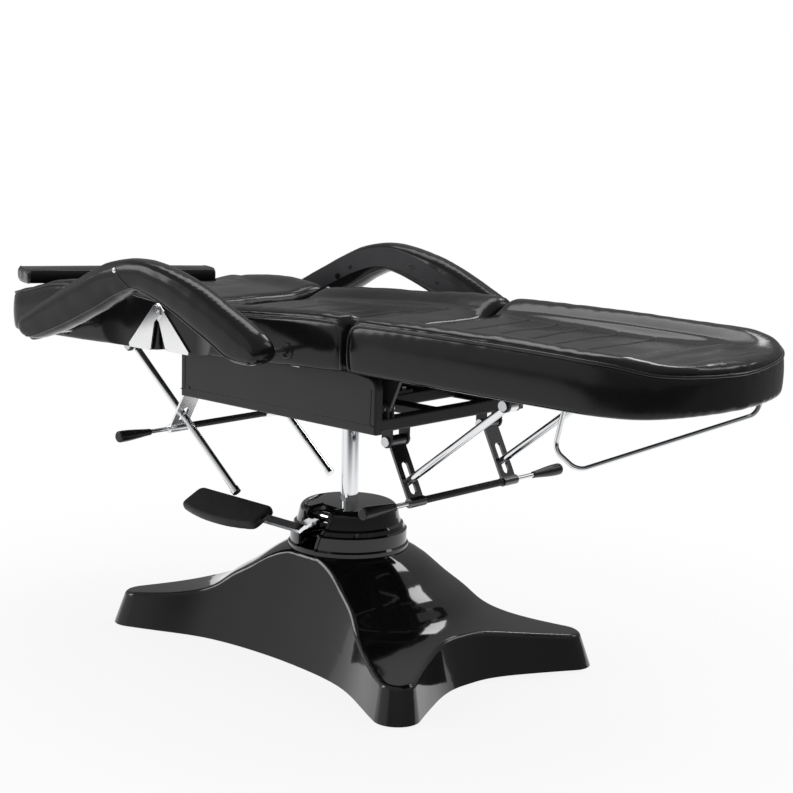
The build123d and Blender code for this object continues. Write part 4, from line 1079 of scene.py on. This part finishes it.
@dataclass
class Pillow:
    """Head pillow: a flat boxed pad with piped ends that lies across the backrest."""

    centre: Point = (-0.7735, -0.0056, 0.7355)
    size: Point = (0.087, 0.472, 0.034)
    turn: float = -19.0
    roll: float = -1.4
    round: float = 0.0105
    crown: float = 0.0035
    end_round: float = 0.006
    cord_radius: float = 0.0019
    cord_inset: float = 0.0012
    cord_proud: float = 0.0002
    fill: float = 0.9
    rows: int = 90
    end_band: Pair = (0.05, 0.01)
    swell: float = 0.0007
    swell_rates: Point = (20.0, 7.0, 20.0)
    pucker: float = 0.0006
    pucker_rates: Point = (60.0, 9.0, 60.0)

    def matrix(self) -> Matrix:
        """Place and turn of the pillow."""
        return (Matrix.Translation(self.centre) @ Matrix.Rotation(math.radians(self.roll), 4, "X")
                @ Matrix.Rotation(math.radians(self.turn), 4, "Z"))

    def rim(self, inset: float, crown: float) -> list[tuple[float, float]]:
        """Rounded outline of the pad across its length.

        Args:
            inset: how far in from the full outline.
            crown: how far its faces swell.

        Returns:
            Points x, z round the outline.
        """
        lx, lz = self.size[0] / 2 - inset, self.size[2] / 2 - inset
        r = max(self.round - inset, 0.003)
        points: list[tuple[float, float]] = []
        for sx, sz, first in ((1, 1, 0), (-1, 1, 90), (-1, -1, 180), (1, -1, 270)):
            for k in range(7):
                ang = math.radians(first + 15 * k)
                points.append((sx * (lx - r) + r * math.cos(ang), sz * (lz - r) + r * math.sin(ang)))
            if sz * sx > 0:
                for k in range(1, 8):
                    t = k / 8
                    x = sx * (lx - r) * (1 - 2 * t)
                    points.append((x, sz * (lz + crown * math.sin(math.pi * t))))
        return points

    def build(self, finishes: Finishes) -> None:
        """Makes the pad and its piping.

        Args:
            finishes: the chair's finishes.
        """
        place = self.matrix()
        ly = self.size[1] / 2
        verts: list[Vector] = []
        for i in range(self.rows + 1):
            y = -ly * math.cos(math.pi * i / self.rows)
            gap = max(0.0, 1 - (ly - abs(y)) / self.end_round)
            inset = self.end_round * (1 - math.sqrt(max(0.0, 1 - gap * gap)))
            crown = self.crown * (1 - (y / ly) ** 4)
            verts.extend(place @ Vector((x, y, z)) for x, z in self.rim(inset, crown))
        obj = mesh_object("pillow_cover", verts, loft_faces(self.rows + 1, len(self.rim(0.0, 0.0))))
        Padding(voxel=0.0045, pressure=2.0, cap=0.002).inflate(obj, lambda p: 0.4)
        smoothed(obj, 2)
        subdivided(obj)
        back = place.inverted()

        def ripple(p: Vector, n: Vector) -> float:
            """How far a point of the pad moves out.

            Args:
                p: the point.
                n: its normal, not used.

            Returns:
                The distance.
            """
            local = back @ p
            near_end = smooth_step(ly - self.end_band[0], ly - self.end_band[1], abs(local.y))
            return (self.swell * noise_at(local, self.swell_rates)
                    + self.pucker * near_end * noise_at(local, self.pucker_rates))

        pushed(obj, ripple)
        finishes.dress(obj, "vinyl", "backrest")
        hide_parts("head_pillow")
        for number, end in enumerate((-1, 1)):
            y = end * (ly - self.end_round)
            ring = [place @ Vector((x, y, z)) for x, z in self.rim(self.cord_inset, 0.0)]
            line = hugging(obj, ring, self.cord_proud)
            cord = tube(f"pillow_piping_{number}", line, self.cord_radius, closed=True)
            finishes.dress(cord, "piping", "backrest")


@dataclass
class Armrest:
    """Bent padded armrest with its lower welt."""

    side: Side
    plane: float = 0.380
    half: float = 0.031
    settle: float = 0.011
    rings: int = 110
    ring_sides: int = 28
    end_share: float = 0.05
    end_size: float = 0.35
    stud_share: float = 0.78
    settle_steps: Sequence[tuple[float, Pair]] = ((0.55, (-0.15, 0.05)), (0.45, (-0.45, -0.25)))
    powers: Point = (0.62, 0.72, 0.9)
    welt_out: float = 0.86
    welt_down: float = 0.80
    fold: float = 0.0006
    fold_rates: Point = (26.0, 8.0, 26.0)
    bend_fold: float = 0.0016
    bend_span: Pair = (-0.26, 0.09)
    bend_heights: Pair = (0.80, 0.76)
    top: Table = (
        (0.137, 0.689), (0.134, 0.704), (0.122, 0.721), (0.100, 0.736), (0.015, 0.776), (-0.070, 0.812),
        (-0.164, 0.836), (-0.242, 0.842), (-0.310, 0.833), (-0.372, 0.812), (-0.509, 0.746), (-0.610, 0.692),
        (-0.627, 0.679), (-0.634, 0.667), (-0.634, 0.660))
    low: Table = (
        (0.135, 0.684), (0.128, 0.674), (0.112, 0.666), (0.084, 0.663), (0.044, 0.667), (0.002, 0.687),
        (-0.118, 0.740), (-0.195, 0.767), (-0.241, 0.774), (-0.290, 0.757), (-0.359, 0.721), (-0.474, 0.671),
        (-0.555, 0.643), (-0.588, 0.636), (-0.612, 0.639), (-0.628, 0.650))
    bend_seam: Sequence[Point] = (
        (-0.285, -0.0008, 0.812), (-0.268, -0.0004, 0.800), (-0.250, -0.0010, 0.788),
        (-0.238, -0.0052, 0.779))

    def build(self, finishes: Finishes) -> None:
        """Makes the pad and its welts.

        Args:
            finishes: the chair's finishes.
        """
        tag = "near" if self.side is Side.NEAR else "far"
        y0 = self.plane * self.side.value
        sunk = self.settle if self.side is Side.FAR else 0.0

        def far_share(x: float) -> float:
            """Share of the far armrest's settling at x."""
            return sum(part * (1 - smooth_step(*span, x)) for part, span in self.settle_steps)

        count = self.rings
        outlines: list[list[Vector]] = []
        for outline in (self.top, self.low):
            line = resample([Vector((x, 0, z - sunk * far_share(x))) for x, z in outline],
                            OUTLINE_STEP)
            outlines.append([line[int(i * (len(line) - 1) / count)] for i in range(count + 1)])
        verts: list[Vector] = []
        welts: list[list[Vector]] = [[], []]
        wide_power, high_power, low_power = self.powers
        for i, (t, l) in enumerate(zip(*outlines)):
            mid, up = (t + l) / 2, (t - l) / 2
            end = min(i, count - i) / count
            bulge = math.sqrt(max(0.0, 1 - max(0.0, 1 - end / self.end_share) ** 2))
            full = bulge * (1 - self.end_size) + self.end_size
            for j in range(self.ring_sides):
                ang = 2 * math.pi * j / self.ring_sides
                c, s = math.cos(ang), math.sin(ang)
                wide = math.copysign(abs(c) ** wide_power, c) * self.half * full
                high = math.copysign(abs(s) ** high_power, s)
                if high < 0:
                    high = math.copysign(abs(high) ** low_power, high)
                verts.append(Vector((mid.x, y0 + wide, mid.z)) + up * high)
            for k, way in enumerate((-1, 1)):
                # The inner welt stops short of the stud that the rear end slides on.
                last = self.stud_share if way == -self.side.value else 1 - self.end_share
                if self.end_share < i / count < last:
                    place = Vector((mid.x, y0 + way * self.half * self.welt_out, mid.z))
                    welts[k].append(place - up * self.welt_down)
        obj = mesh_object(f"arm_cover_{tag}", verts, loft_faces(count + 1, self.ring_sides))
        Padding(voxel=0.006, pressure=3.0, cap=0.0025).inflate(obj, lambda p: 0.3)
        smoothed(obj, 4)
        subdivided(obj)

        def creases(p: Vector, n: Vector) -> float:
            """How far a point of the pad moves out.

            Args:
                p: the point.
                n: its normal, not used.

            Returns:
                The distance.
            """
            fold = noise_at(p, self.fold_rates)
            middle, reach = self.bend_span
            bend = math.exp(-((p.x - middle) / reach) ** 2) * smooth_step(*self.bend_heights, p.z)
            return self.fold * fold + self.bend_fold * bend * fold

        pushed(obj, creases)
        finishes.dress(obj, "vinyl", f"arm_{tag}")
        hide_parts(f"arm_pad_{tag}")
        for k, path in enumerate(welts):
            line = hugging(obj, resample(path, WELT_STEP), WELT_PROUD)
            cord = tube(f"arm_welt_{tag}_{k}", line, WELT_RADIUS, sides=8)
            finishes.dress(cord, "piping", f"arm_{tag}")
        outer = y0 + self.side.value * self.half
        seam = [Vector((x, outer + self.side.value * out, z)) for x, out, z in self.bend_seam]
        line = hugging(obj, resample(seam, OUTLINE_STEP), SEAM_PROUD)
        cord = tube(f"arm_bend_seam_{tag}", line, SEAM_RADIUS, sides=8)
        finishes.dress(cord, "piping", f"arm_{tag}")


# Geometry Nodes

class Setter:
    """A Geometry Nodes tree that sets copies of a shape and makes one plain mesh of them."""

    fields: dict[str, str] = {}

    def __init__(self, name: str, material: Material) -> None:
        """Builds the tree.

        Args:
            name: the tree's name.
            material: the finish of the copies.
        """
        tree = new_group(name, "GeometryNodeTree", {"Geometry": "Geometry", "Shape": "Object", **self.fields},
                         {"Geometry": "Geometry"})
        self.tree = tree
        self.sockets = {item.name: item.identifier for item in tree.interface.items_tree
                        if item.in_out == "INPUT"}
        link = tree.links.new
        self.inp, out = made_node(tree, "NodeGroupInput"), made_node(tree, "NodeGroupOutput")
        info = made_node(tree, "GeometryNodeObjectInfo")
        self.place = made_node(tree, "GeometryNodeInstanceOnPoints")
        real = made_node(tree, "GeometryNodeRealizeInstances")
        finish = made_node(tree, "GeometryNodeSetMaterial", {"Material": material})
        link(self.inp.outputs["Shape"], info.inputs["Object"])
        link(info.outputs["Geometry"], self.place.inputs["Instance"])
        link(self.place.outputs["Instances"], real.inputs["Geometry"])
        link(real.outputs["Geometry"], finish.inputs["Geometry"])
        link(finish.outputs["Geometry"], out.inputs["Geometry"])

    def run(self, name: str, data: Data, values: Mapping[str, object]) -> Obj:
        """The tree's result on a curve or a row of points.

        Args:
            name: the piece's name.
            data: the curve or the points.
            values: values of the tree's inputs by name.

        Returns:
            The mesh object.
        """
        carrier = linked(data.name, data)
        work = carrier.modifiers.new("copies", "NODES")
        work.node_group = self.tree
        for label, value in values.items():
            work[self.sockets[label]] = value
        mesh = evaluated_mesh(carrier)
        mesh.name = name
        bpy.data.objects.remove(carrier)
        shaded(mesh)
        return linked(name, mesh)


class Repeater(Setter):
    """Copies of a shape at even spacing along curves."""

    fields = {"Spacing": "Float"}

    def __init__(self, name: str, material: Material) -> None:
        """Builds the tree.

        Args:
            name: the tree's name.
            material: the finish of the copies.
        """
        super().__init__(name, material)
        link = self.tree.links.new
        points = made_node(self.tree, "GeometryNodeCurveToPoints", mode="LENGTH")
        link(self.inp.outputs["Geometry"], points.inputs["Curve"])
        link(self.inp.outputs["Spacing"], points.inputs["Length"])
        link(points.outputs["Points"], self.place.inputs["Points"])
        link(points.outputs["Rotation"], self.place.inputs["Rotation"])

    def along(self, name: str, lines: Sequence[Sequence[Vector]], spacing: float, shape: Obj) -> Obj:
        """Copies of a shape along several lines.

        Args:
            name: the piece's name.
            lines: the paths to follow.
            spacing: distance between copies.
            shape: what is copied.

        Returns:
            The mesh object.
        """
        data = bpy.data.curves.new(name + "_line", "CURVE")
        data.dimensions = "3D"
        for line in lines:
            spline = data.splines.new("POLY")
            spline.points.add(len(line) - 1)
            for point, place in zip(spline.points, line):
                point.co = (*place, 1.0)
        return self.run(name, data, {"Spacing": spacing, "Shape": shape})


class HeadSetter(Setter):
    """Fastener heads on points, all facing one way."""

    fields = {"Facing": "Vector", "Size": "Float"}

    def __init__(self, name: str, material: Material) -> None:
        """Builds the tree.

        Args:
            name: the tree's name.
            material: the finish of the copies.
        """
        super().__init__(name, material)
        link = self.tree.links.new
        turn = made_node(self.tree, "FunctionNodeAlignRotationToVector", axis="Z")
        link(self.inp.outputs["Facing"], turn.inputs["Vector"])
        link(self.inp.outputs["Geometry"], self.place.inputs["Points"])
        link(turn.outputs["Rotation"], self.place.inputs["Rotation"])
        link(self.inp.outputs["Size"], self.place.inputs["Scale"])

    def on_points(self, row: "HeadRow", head: Obj) -> Obj:
        """The heads of one row.

        Args:
            row: where they sit, which way they look and how large they are.
            head: the head that is copied.

        Returns:
            The mesh object.
        """
        mesh = bpy.data.meshes.new(row.name + "_points")
        mesh.from_pydata([tuple(p) for p in row.places], [], [])
        return self.run(row.name, mesh, {"Shape": head, "Facing": row.facing, "Size": row.size})


def stitch_shape() -> Obj:
    """One stitch, a short thick thread bowed over the cover.

    Returns:
        The mesh object, along Z.
    """
    half = STITCH_LENGTH / 2
    points = [Vector((STITCH_BOW * (1 - (z / half) ** 2), 0, z)) for z in (-half, -0.001, 0.001, half)]
    return tube("one_stitch", points, STITCH_RADIUS, sides=6)


def head_shape() -> Obj:
    """A domed head of radius one with a cross recess, looking along Z.

    Returns:
        The mesh object.
    """
    sides = 20
    dome = ((1.0, -0.04), (1.0, 0.16), (0.94, 0.3), (0.78, 0.42), (0.56, 0.5), (0.4, 0.53))
    rings = [([radius] * sides, height) for radius, height in dome]
    lobes = [0.34 if j % 5 in (0, 1, 4) else 0.14 for j in range(sides)]
    rings += [(lobes, height) for height in (0.53, 0.22)]
    verts: list[Vector] = []
    for radii, height in rings:
        for j, radius in enumerate(radii):
            ang = 2 * math.pi * j / sides
            verts.append(Vector((radius * math.cos(ang), radius * math.sin(ang), height)))
    return mesh_object("one_head", verts, loft_faces(len(rings), sides))


def panel_folds(finishes: Finishes) -> None:
    """Pressed fold that runs round the face of each side panel.

    Args:
        finishes: the chair's finishes.
    """
    route = ((-0.272, 0.640), (-0.272, 0.558), (-0.266, 0.5525), (0.0, 0.5525),
             (0.262, 0.5525), (0.270, 0.558), (0.2725, 0.600), (0.2725, 0.625))
    for side in Side:
        line = [Vector((x, side.value * PANEL_FACE, z)) for x, z in route]
        cord = tube(f"panel_fold_{side.name.lower()}", resample(line, FOLD_STEP), FOLD_RADIUS, sides=8)
        finishes.dress(cord, "paint", "seat")


def pedal_tread(finishes: Finishes) -> None:
    """Rubber tread of the pedal, its ribs worn soft and its skirts round.

    Args:
        finishes: the chair's finishes.
    """
    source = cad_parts["pedal_shoe"]
    place = source.matrix_world
    obj = mesh_object("pedal_tread", [place @ v.co for v in source.data.vertices],
                      [tuple(face.vertices) for face in source.data.polygons])
    remeshed(obj, "skin", TREAD_VOXEL)
    smoothed(obj, TREAD_ROUNDS)
    shaded(obj.data)
    finishes.dress(obj, "rubber", "pedal")
    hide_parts("pedal_shoe")


@dataclass(frozen=True)
class Grommet:
    """A pair of rings, one in each side of the bed."""

    name: str
    body: str
    middle: Point
    radius: float
    thickness: float


GROMMETS = (
    Grommet("pivot_ring", "seat", (0.078, 0.2712, 0.681), 0.0145, 0.0034),
    Grommet("stud_washer", "backrest", (-0.638, 0.2692, 0.640), 0.0105, 0.0026),
)


def grommets(finishes: Finishes) -> None:
    """Rings round the arm pivots in the seat's sides and the stud washers in the backrest's sides.

    Args:
        finishes: the chair's finishes.
    """
    turns = [math.tau * k / 32 for k in range(32)]
    for side in Side:
        for kind in GROMMETS:
            x, y, z = kind.middle
            line = [Vector((x + kind.radius * math.cos(a), side.value * y, z + kind.radius * math.sin(a)))
                    for a in turns]
            cord = tube(f"{kind.name}_{side.name.lower()}", line, kind.thickness, closed=True)
            finishes.dress(cord, "grip", kind.body)


@dataclass(frozen=True)
class HeadRow:
    """Fastener heads of one size on one flat face."""

    name: str
    body: str
    key: str
    places: tuple[Point, ...]
    facing: Point
    size: float


def head_rows() -> list[HeadRow]:
    """Every row of rivets and screws that is not a solid of its own.

    Returns:
        The rows of both sides.
    """
    rows: list[HeadRow] = []
    for side in Side:
        tag = side.name.lower()
        y = float(side.value)
        rows.append(HeadRow(f"panel_rivet_{tag}", "seat", "paint", ((-0.259, PANEL_FACE * y, 0.555),),
                            (0, y, 0), 0.0038))
        rows.append(HeadRow(f"arm_button_{tag}", f"arm_{tag}", "chrome", ((-0.288, 0.4095 * y, 0.815),),
                            (0, y, 0), 0.0058))
        rows.append(HeadRow(f"leg_rail_screws_{tag}", "leg_rest", "zinc",
                            tuple((0.30 + 0.085 * i, 0.182 * y, 0.643) for i in range(6)),
                            (0, 0, -1), 0.0055))
    return rows


def fasteners(finishes: Finishes) -> None:
    """Sets every rivet and screw head.

    Args:
        finishes: the chair's finishes.
    """
    head = head_shape()
    setters: dict[str, HeadSetter] = {}
    for row in head_rows():
        if row.key not in setters:
            setters[row.key] = HeadSetter(f"set_heads_{row.key}", finishes.made[row.key])
        finishes.dress(setters[row.key].on_points(row, head), row.key, row.body)
    bpy.data.objects.remove(head)


# The studio

@dataclass(frozen=True)
class Lamp:
    """One soft box: its place, its aim, its width and height, and its power in watts."""

    name: str
    place: Point
    aim: Point
    size: Pair
    power: float


LAMPS = (
    Lamp("top_box", (-1.0, 0.8, 2.9), (0.3, 0.0, 0.7), (2.0, 1.0), 17.0),
    Lamp("window_box", (0.05, 1.7, 2.25), (0.88, 0.0, 0.73), (0.7, 0.5), 7.0),
    Lamp("left_box", (-2.7, -2.3, 2.1), (0.0, 0.0, 0.5), (1.2, 1.8), 30.0),
    Lamp("right_box", (1.6, 2.6, 2.6), (0.2, 0.0, 0.5), (0.8, 1.2), 8.0),
)


@dataclass
class Studio:
    """Camera, lamps, floor and white surroundings."""

    focal: float = 1814.72
    yaw: float = 0.7361
    pitch: float = 0.1859
    roll: float = 0.0276
    centre: Pair = (396.63, 411.82)
    place: Point = (2.6305, -2.7590, 1.2326)
    image: float = 793.0
    sensor: float = 36.0
    soft_level: float = 0.6
    sky_heights: Pair = (0.05, 0.8)
    sky_levels: Pair = (0.26, 0.5)
    room_edge: Pair = (1.2, 2.5)
    room_levels: Pair = (1.0, 0.03)
    wall_edge: Pair = (0.45, 0.85)
    wall_levels: Pair = (0.0, 0.85)
    right_edge: Pair = (1.3, 2.6)
    right_levels: Pair = (1.0, 0.2)
    shadow_reach: Pair = (0.6, 1.6)
    shadow_shares: Pair = (0.86, 1.0)
    floor_half: float = 14.0

    def camera(self) -> None:
        """Places the camera as solved from the photograph."""
        level = math.cos(self.pitch)
        ahead = Vector((-math.sin(self.yaw) * level, math.cos(self.yaw) * level, -math.sin(self.pitch)))
        right = Vector((math.cos(self.yaw), math.sin(self.yaw), 0.0))
        up = right.cross(ahead)
        turned = right * math.cos(self.roll) + up * math.sin(self.roll)
        raised = up * math.cos(self.roll) - right * math.sin(self.roll)
        data = bpy.data.cameras.new("camera")
        cam = linked("camera", data)
        data.sensor_width = self.sensor
        data.lens = self.focal * self.sensor / self.image
        data.shift_x = -(self.centre[0] - self.image / 2) / self.image
        data.shift_y = (self.centre[1] - self.image / 2) / self.image
        data.clip_start, data.clip_end = 0.05, 60.0
        cam.matrix_world = Matrix(((turned.x, raised.x, -ahead.x, self.place[0]),
                                   (turned.y, raised.y, -ahead.y, self.place[1]),
                                   (turned.z, raised.z, -ahead.z, self.place[2]), (0, 0, 0, 1)))
        bpy.context.scene.camera = cam

    def lamp(self, box: Lamp) -> None:
        """Hangs one soft box.

        Args:
            box: where it hangs, what it faces, its size and its power.
        """
        data = bpy.data.lights.new(box.name, "AREA")
        data.shape = "RECTANGLE"
        data.size, data.size_y = box.size
        data.energy = box.power
        obj = linked(box.name, data)
        obj.location = box.place
        obj.rotation_euler = (Vector(box.aim) - Vector(box.place)).to_track_quat("-Z", "Y").to_euler()

    def ray_share(self, tree: Tree, rays: Sequence[Ray]) -> Socket:
        """Light Path share of the rays that see the bright studio.

        Args:
            tree: the node tree.
            rays: which rays count.

        Returns:
            The socket that is one for those rays.
        """
        path = tree.nodes.new("ShaderNodeLightPath")
        total = path.outputs[rays[0].value]
        for ray in rays[1:]:
            total = self.worked(tree, "MAXIMUM", total, path.outputs[ray.value])
        return total

    def worked(self, tree: Tree, operation: str, first: Socket, second: Socket) -> Socket:
        """A sum, product or the like of two values.

        Args:
            tree: the node tree.
            operation: what is worked out.
            first: one value.
            second: the other.

        Returns:
            The result's socket.
        """
        node = made_node(tree, "ShaderNodeMath", operation=operation)
        tree.links.new(first, node.inputs[0])
        tree.links.new(second, node.inputs[1])
        return node.outputs[0]

    def along(self, tree: Tree, place: Socket, way: Point) -> Socket:
        """How far a place lies in a direction.

        Args:
            tree: the node tree.
            place: the place.
            way: the direction.

        Returns:
            The distance's socket.
        """
        node = made_node(tree, "ShaderNodeVectorMath", operation="DOT_PRODUCT")
        tree.links.new(place, node.inputs[0])
        node.inputs[1].default_value = way
        return node.outputs["Value"]

    def ramp(self, tree: Tree, value: Socket, places: Pair, levels: Pair) -> Socket:
        """A soft ramp from one level to another.

        Args:
            tree: the node tree.
            value: what is read.
            places: where the ramp starts and ends.
            levels: its levels there.

        Returns:
            The ramp's socket.
        """
        node = made_node(tree, "ShaderNodeMapRange", {
            "From Min": places[0], "From Max": places[1], "To Min": levels[0], "To Max": levels[1]},
            interpolation_type="SMOOTHSTEP")
        tree.links.new(value, node.inputs["Value"])
        return node.outputs["Result"]

    def joined(self, tree: Tree, share: Socket, first: Socket, second: Socket) -> Socket:
        """Mix of two shaders.

        Args:
            tree: the node tree.
            share: how much of the second.
            first: one shader.
            second: the other.

        Returns:
            The mixed shader's socket.
        """
        mix = tree.nodes.new("ShaderNodeMixShader")
        tree.links.new(share, mix.inputs[0])
        tree.links.new(first, mix.inputs[1])
        tree.links.new(second, mix.inputs[2])
        return mix.outputs[0]

    def surroundings(self) -> None:
        """White to the camera, a sky with one bright wall to gloss, and an even level to the rest."""
        world = bpy.data.worlds.new("studio")
        bpy.context.scene.world = world
        world.use_nodes = True
        tree = world.node_tree
        tree.nodes.clear()
        out = made_node(tree, "ShaderNodeOutputWorld")
        soft = made_node(tree, "ShaderNodeBackground",
                         {"Color": (0.94, 0.95, 0.97, 1), "Strength": self.soft_level})
        white = made_node(tree, "ShaderNodeBackground", {"Color": (1, 1, 1, 1), "Strength": 1.0})
        sky = made_node(tree, "ShaderNodeBackground")
        where = made_node(tree, "ShaderNodeTexCoord").outputs["Generated"]
        axes = made_node(tree, "ShaderNodeSeparateXYZ")
        tree.links.new(where, axes.inputs["Vector"])
        level = self.ramp(tree, axes.outputs["Z"], self.sky_heights, self.sky_levels)
        left = self.along(tree, where, (-math.cos(self.yaw), -math.sin(self.yaw), 0.0))
        wall = self.ramp(tree, left, self.wall_edge, self.wall_levels)
        tree.links.new(self.worked(tree, "MAXIMUM", level, wall), sky.inputs["Strength"])
        glossy = self.joined(tree, self.ray_share(tree, [Ray.GLOSSY]), soft.outputs[0], sky.outputs[0])
        seen = self.ray_share(tree, [Ray.CAMERA, Ray.TRANSMISSION])
        final = self.joined(tree, seen, glossy, white.outputs[0])
        tree.links.new(final, out.inputs["Surface"])

    def floor(self) -> None:
        """Pale floor that keeps a soft shadow and ends in front of a dim room."""
        size = self.floor_half
        corners = [(-size, -size, 0), (size, -size, 0), (size, size, 0), (-size, size, 0)]
        obj = mesh_object("studio_floor", corners, [(0, 1, 2, 3)])
        mat = bpy.data.materials.new("pale_floor")
        mat.use_nodes = True
        tree = mat.node_tree
        tree.nodes.clear()
        out = made_node(tree, "ShaderNodeOutputMaterial")
        matt = made_node(tree, "ShaderNodeBsdfDiffuse", {"Color": (0.92, 0.92, 0.92, 1)})
        glow = made_node(tree, "ShaderNodeEmission", {"Color": (1, 1, 1, 1), "Strength": 1.0})
        mirror = made_node(tree, "ShaderNodeEmission")
        where = made_node(tree, "ShaderNodeTexCoord").outputs["Object"]
        reach = made_node(tree, "ShaderNodeVectorMath", operation="LENGTH")
        tree.links.new(where, reach.inputs[0])
        ahead = self.along(tree, where, (math.sin(self.yaw), -math.cos(self.yaw), 0.0))
        beyond = self.along(tree, where, (math.cos(self.yaw), math.sin(self.yaw), 0.0))
        strength = self.worked(tree, "MULTIPLY", self.ramp(tree, ahead, self.room_edge, self.room_levels),
                               self.ramp(tree, beyond, self.right_edge, self.right_levels))
        tree.links.new(strength, mirror.inputs["Strength"])
        shade = self.ramp(tree, reach.outputs["Value"], self.shadow_reach, self.shadow_shares)
        lit = self.joined(tree, shade, matt.outputs[0], glow.outputs[0])
        glossy = self.joined(tree, self.ray_share(tree, [Ray.GLOSSY]), matt.outputs[0], mirror.outputs[0])
        final = self.joined(tree, self.ray_share(tree, [Ray.CAMERA, Ray.TRANSMISSION]), glossy, lit)
        tree.links.new(final, out.inputs["Surface"])
        obj.data.materials.append(mat)

    def build(self) -> None:
        """Sets up everything around the chair."""
        self.camera()
        self.surroundings()
        self.floor()
        for box in LAMPS:
            self.lamp(box)
        bpy.context.scene.view_settings.view_transform = "Standard"


CAD_FINISHES: dict[str, str] = {
    "gloss": "base_cover pump_cover slot_rim",
    "paint": "base_frame swivel_mount side_panel_near side_panel_far front_tube rear_tube cross_members "
             "centre_beams leg_hinge_ears leg_lock_ears back_lock_ears leg_rod_ears back_rod_ears leg_frame",
    "rubber": "floor_pads pedal_shoe leg_sleeve back_sleeve",
    "grip": "leg_grip_near leg_grip_far back_grip",
    "zinc": "cylinder_bolts pedal_pin mount_bolts leg_hinge_pins leg_lock_pins back_lock_pins leg_rod_pins "
            "back_rod_pins hinge_screws arm_pivots arm_studs",
    "chrome": "pedal_bar lift_column leg_lever_bar back_lever_bar leg_rods back_rods loop_bar",
    "polished": "back_lock_plates seat_leaf_near seat_leaf_far back_leaf_near back_leaf_far",
    "smoked": "leg_lock_plates",
    "dark_steel": "pump_cylinder arm_core_near arm_core_far",
    "lining": "seat_board leg_board back_board",
}


def cushions() -> list[Cushion]:
    """The three cushions of the bed.

    Returns:
        The seat, the leg rest and the backrest.
    """
    seat = Cushion(
        "seat_cover", "seat_cushion", "seat", (-0.320, 0.228), Underside(0.6446, 0.0449),
        crest=[(-0.32, 0.733), (-0.235, 0.742), (-0.166, 0.747), (0.0, 0.757), (0.129, 0.766),
               (0.228, 0.767)],
        dish=[(-0.32, 0.020), (-0.2, 0.030), (0.0, 0.036), (0.228, 0.030)],
        width=[(-0.32, 0.266), (-0.2, 0.269), (0.1, 0.270), (0.228, 0.268)], seam_ends=(True, True),
        channels=[-0.17, -0.095, -0.02, 0.055, 0.13], seed=2.3)
    leg = Cushion(
        "leg_cover", "leg_cushion", "leg_rest", (0.237, 0.961), Underside(0.655),
        crest=[(0.237, 0.766), (0.35, 0.769), (0.6, 0.770), (0.8, 0.767), (0.868, 0.7615), (0.915, 0.749),
               (0.961, 0.7385)],
        dish=[(0.237, 0.028), (0.35, 0.037), (0.6, 0.040), (0.76, 0.036), (0.85, 0.020), (0.91, 0.006),
              (0.961, 0.001)],
        width=[(0.237, 0.268), (0.35, 0.270), (0.7, 0.2705), (0.804, 0.2685), (0.843, 0.260), (0.888, 0.2395),
               (0.917, 0.205), (0.939, 0.150), (0.952, 0.092), (0.959, 0.040), (0.961, 0.004)],
        seam_ends=(True, False), channels=[0.352, 0.425, 0.495, 0.572, 0.659], seed=7.9)
    back = Cushion(
        "back_cover", "back_cushion", "backrest", (-0.8765, -0.330),
        Underside(0.626, 0.0252, -0.425),
        crest=[(-0.8765, 0.703), (-0.84, 0.709), (-0.808, 0.7165), (-0.774, 0.724), (-0.736, 0.7345),
               (-0.699, 0.7445), (-0.662, 0.750), (-0.618, 0.7525), (-0.53, 0.751), (-0.435, 0.7455),
               (-0.33, 0.737)],
        dish=[(-0.8765, 0.002), (-0.8, 0.009), (-0.6, 0.018), (-0.33, 0.010)],
        width=[(-0.8765, 0.004), (-0.8755, 0.10), (-0.872, 0.198), (-0.862, 0.238), (-0.838, 0.2615),
               (-0.80, 0.2665), (-0.6, 0.269), (-0.33, 0.266)],
        far_drops=((-0.8765, 0.028), (-0.76, 0.034), (-0.70, 0.036), (-0.645, 0.026), (-0.556, 0.011),
                   (-0.453, 0.001), (-0.44, 0.0)),
        drops=((-0.8765, 0.003), (-0.79, 0.0045), (-0.65, 0.008), (-0.45, 0.0105), (-0.33, 0.0115)),
        seam_ends=(False, True), seed=4.4)
    return [seat, leg, back]


def stitches(finishes: Finishes, covers: Sequence[Cushion]) -> None:
    """Rows of thread in the sewn channels.

    Args:
        finishes: the chair's finishes.
        covers: the cushions with channels.
    """
    maker = Repeater("thread_row", finishes.made["thread"])
    shape = stitch_shape()
    for cover in covers:
        if not cover.channels:
            continue
        target = bpy.data.objects[cover.name]
        graph = bpy.context.evaluated_depsgraph_get()
        lines: list[list[Vector]] = []
        for place in cover.channels:
            line: list[Vector] = []
            for i in range(61):
                y = -cover.channel_reach + 2 * cover.channel_reach * i / 60
                x = cover.channel_line(place, y)
                hit, spot, _, _ = target.ray_cast(Vector((x, y, 1.0)), Vector((0, 0, -1)), depsgraph=graph)
                if hit:
                    line.append(spot + Vector((0, 0, STITCH_LIFT)))
            lines.append(line)
        row = maker.along(f"{cover.name}_stitches", lines, STITCH_PITCH, shape)
        finishes.dress(row, "thread", cover.body)
    bpy.data.objects.remove(shape)


def main() -> None:
    """Builds the chair's looks in order."""
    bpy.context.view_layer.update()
    finishes = Finishes()
    Studio().build()
    for key, nodes in CAD_FINISHES.items():
        for node in nodes.split():
            finishes.paint_node(node, key)
    covers = cushions()
    for cover in covers:
        cover.build(finishes)
    Pillow().build(finishes)
    for side in Side:
        Armrest(side).build(finishes)
    stitches(finishes, covers)
    fasteners(finishes)
    panel_folds(finishes)
    pedal_tread(finishes)
    grommets(finishes)


if __name__ == "__main__":
    main()
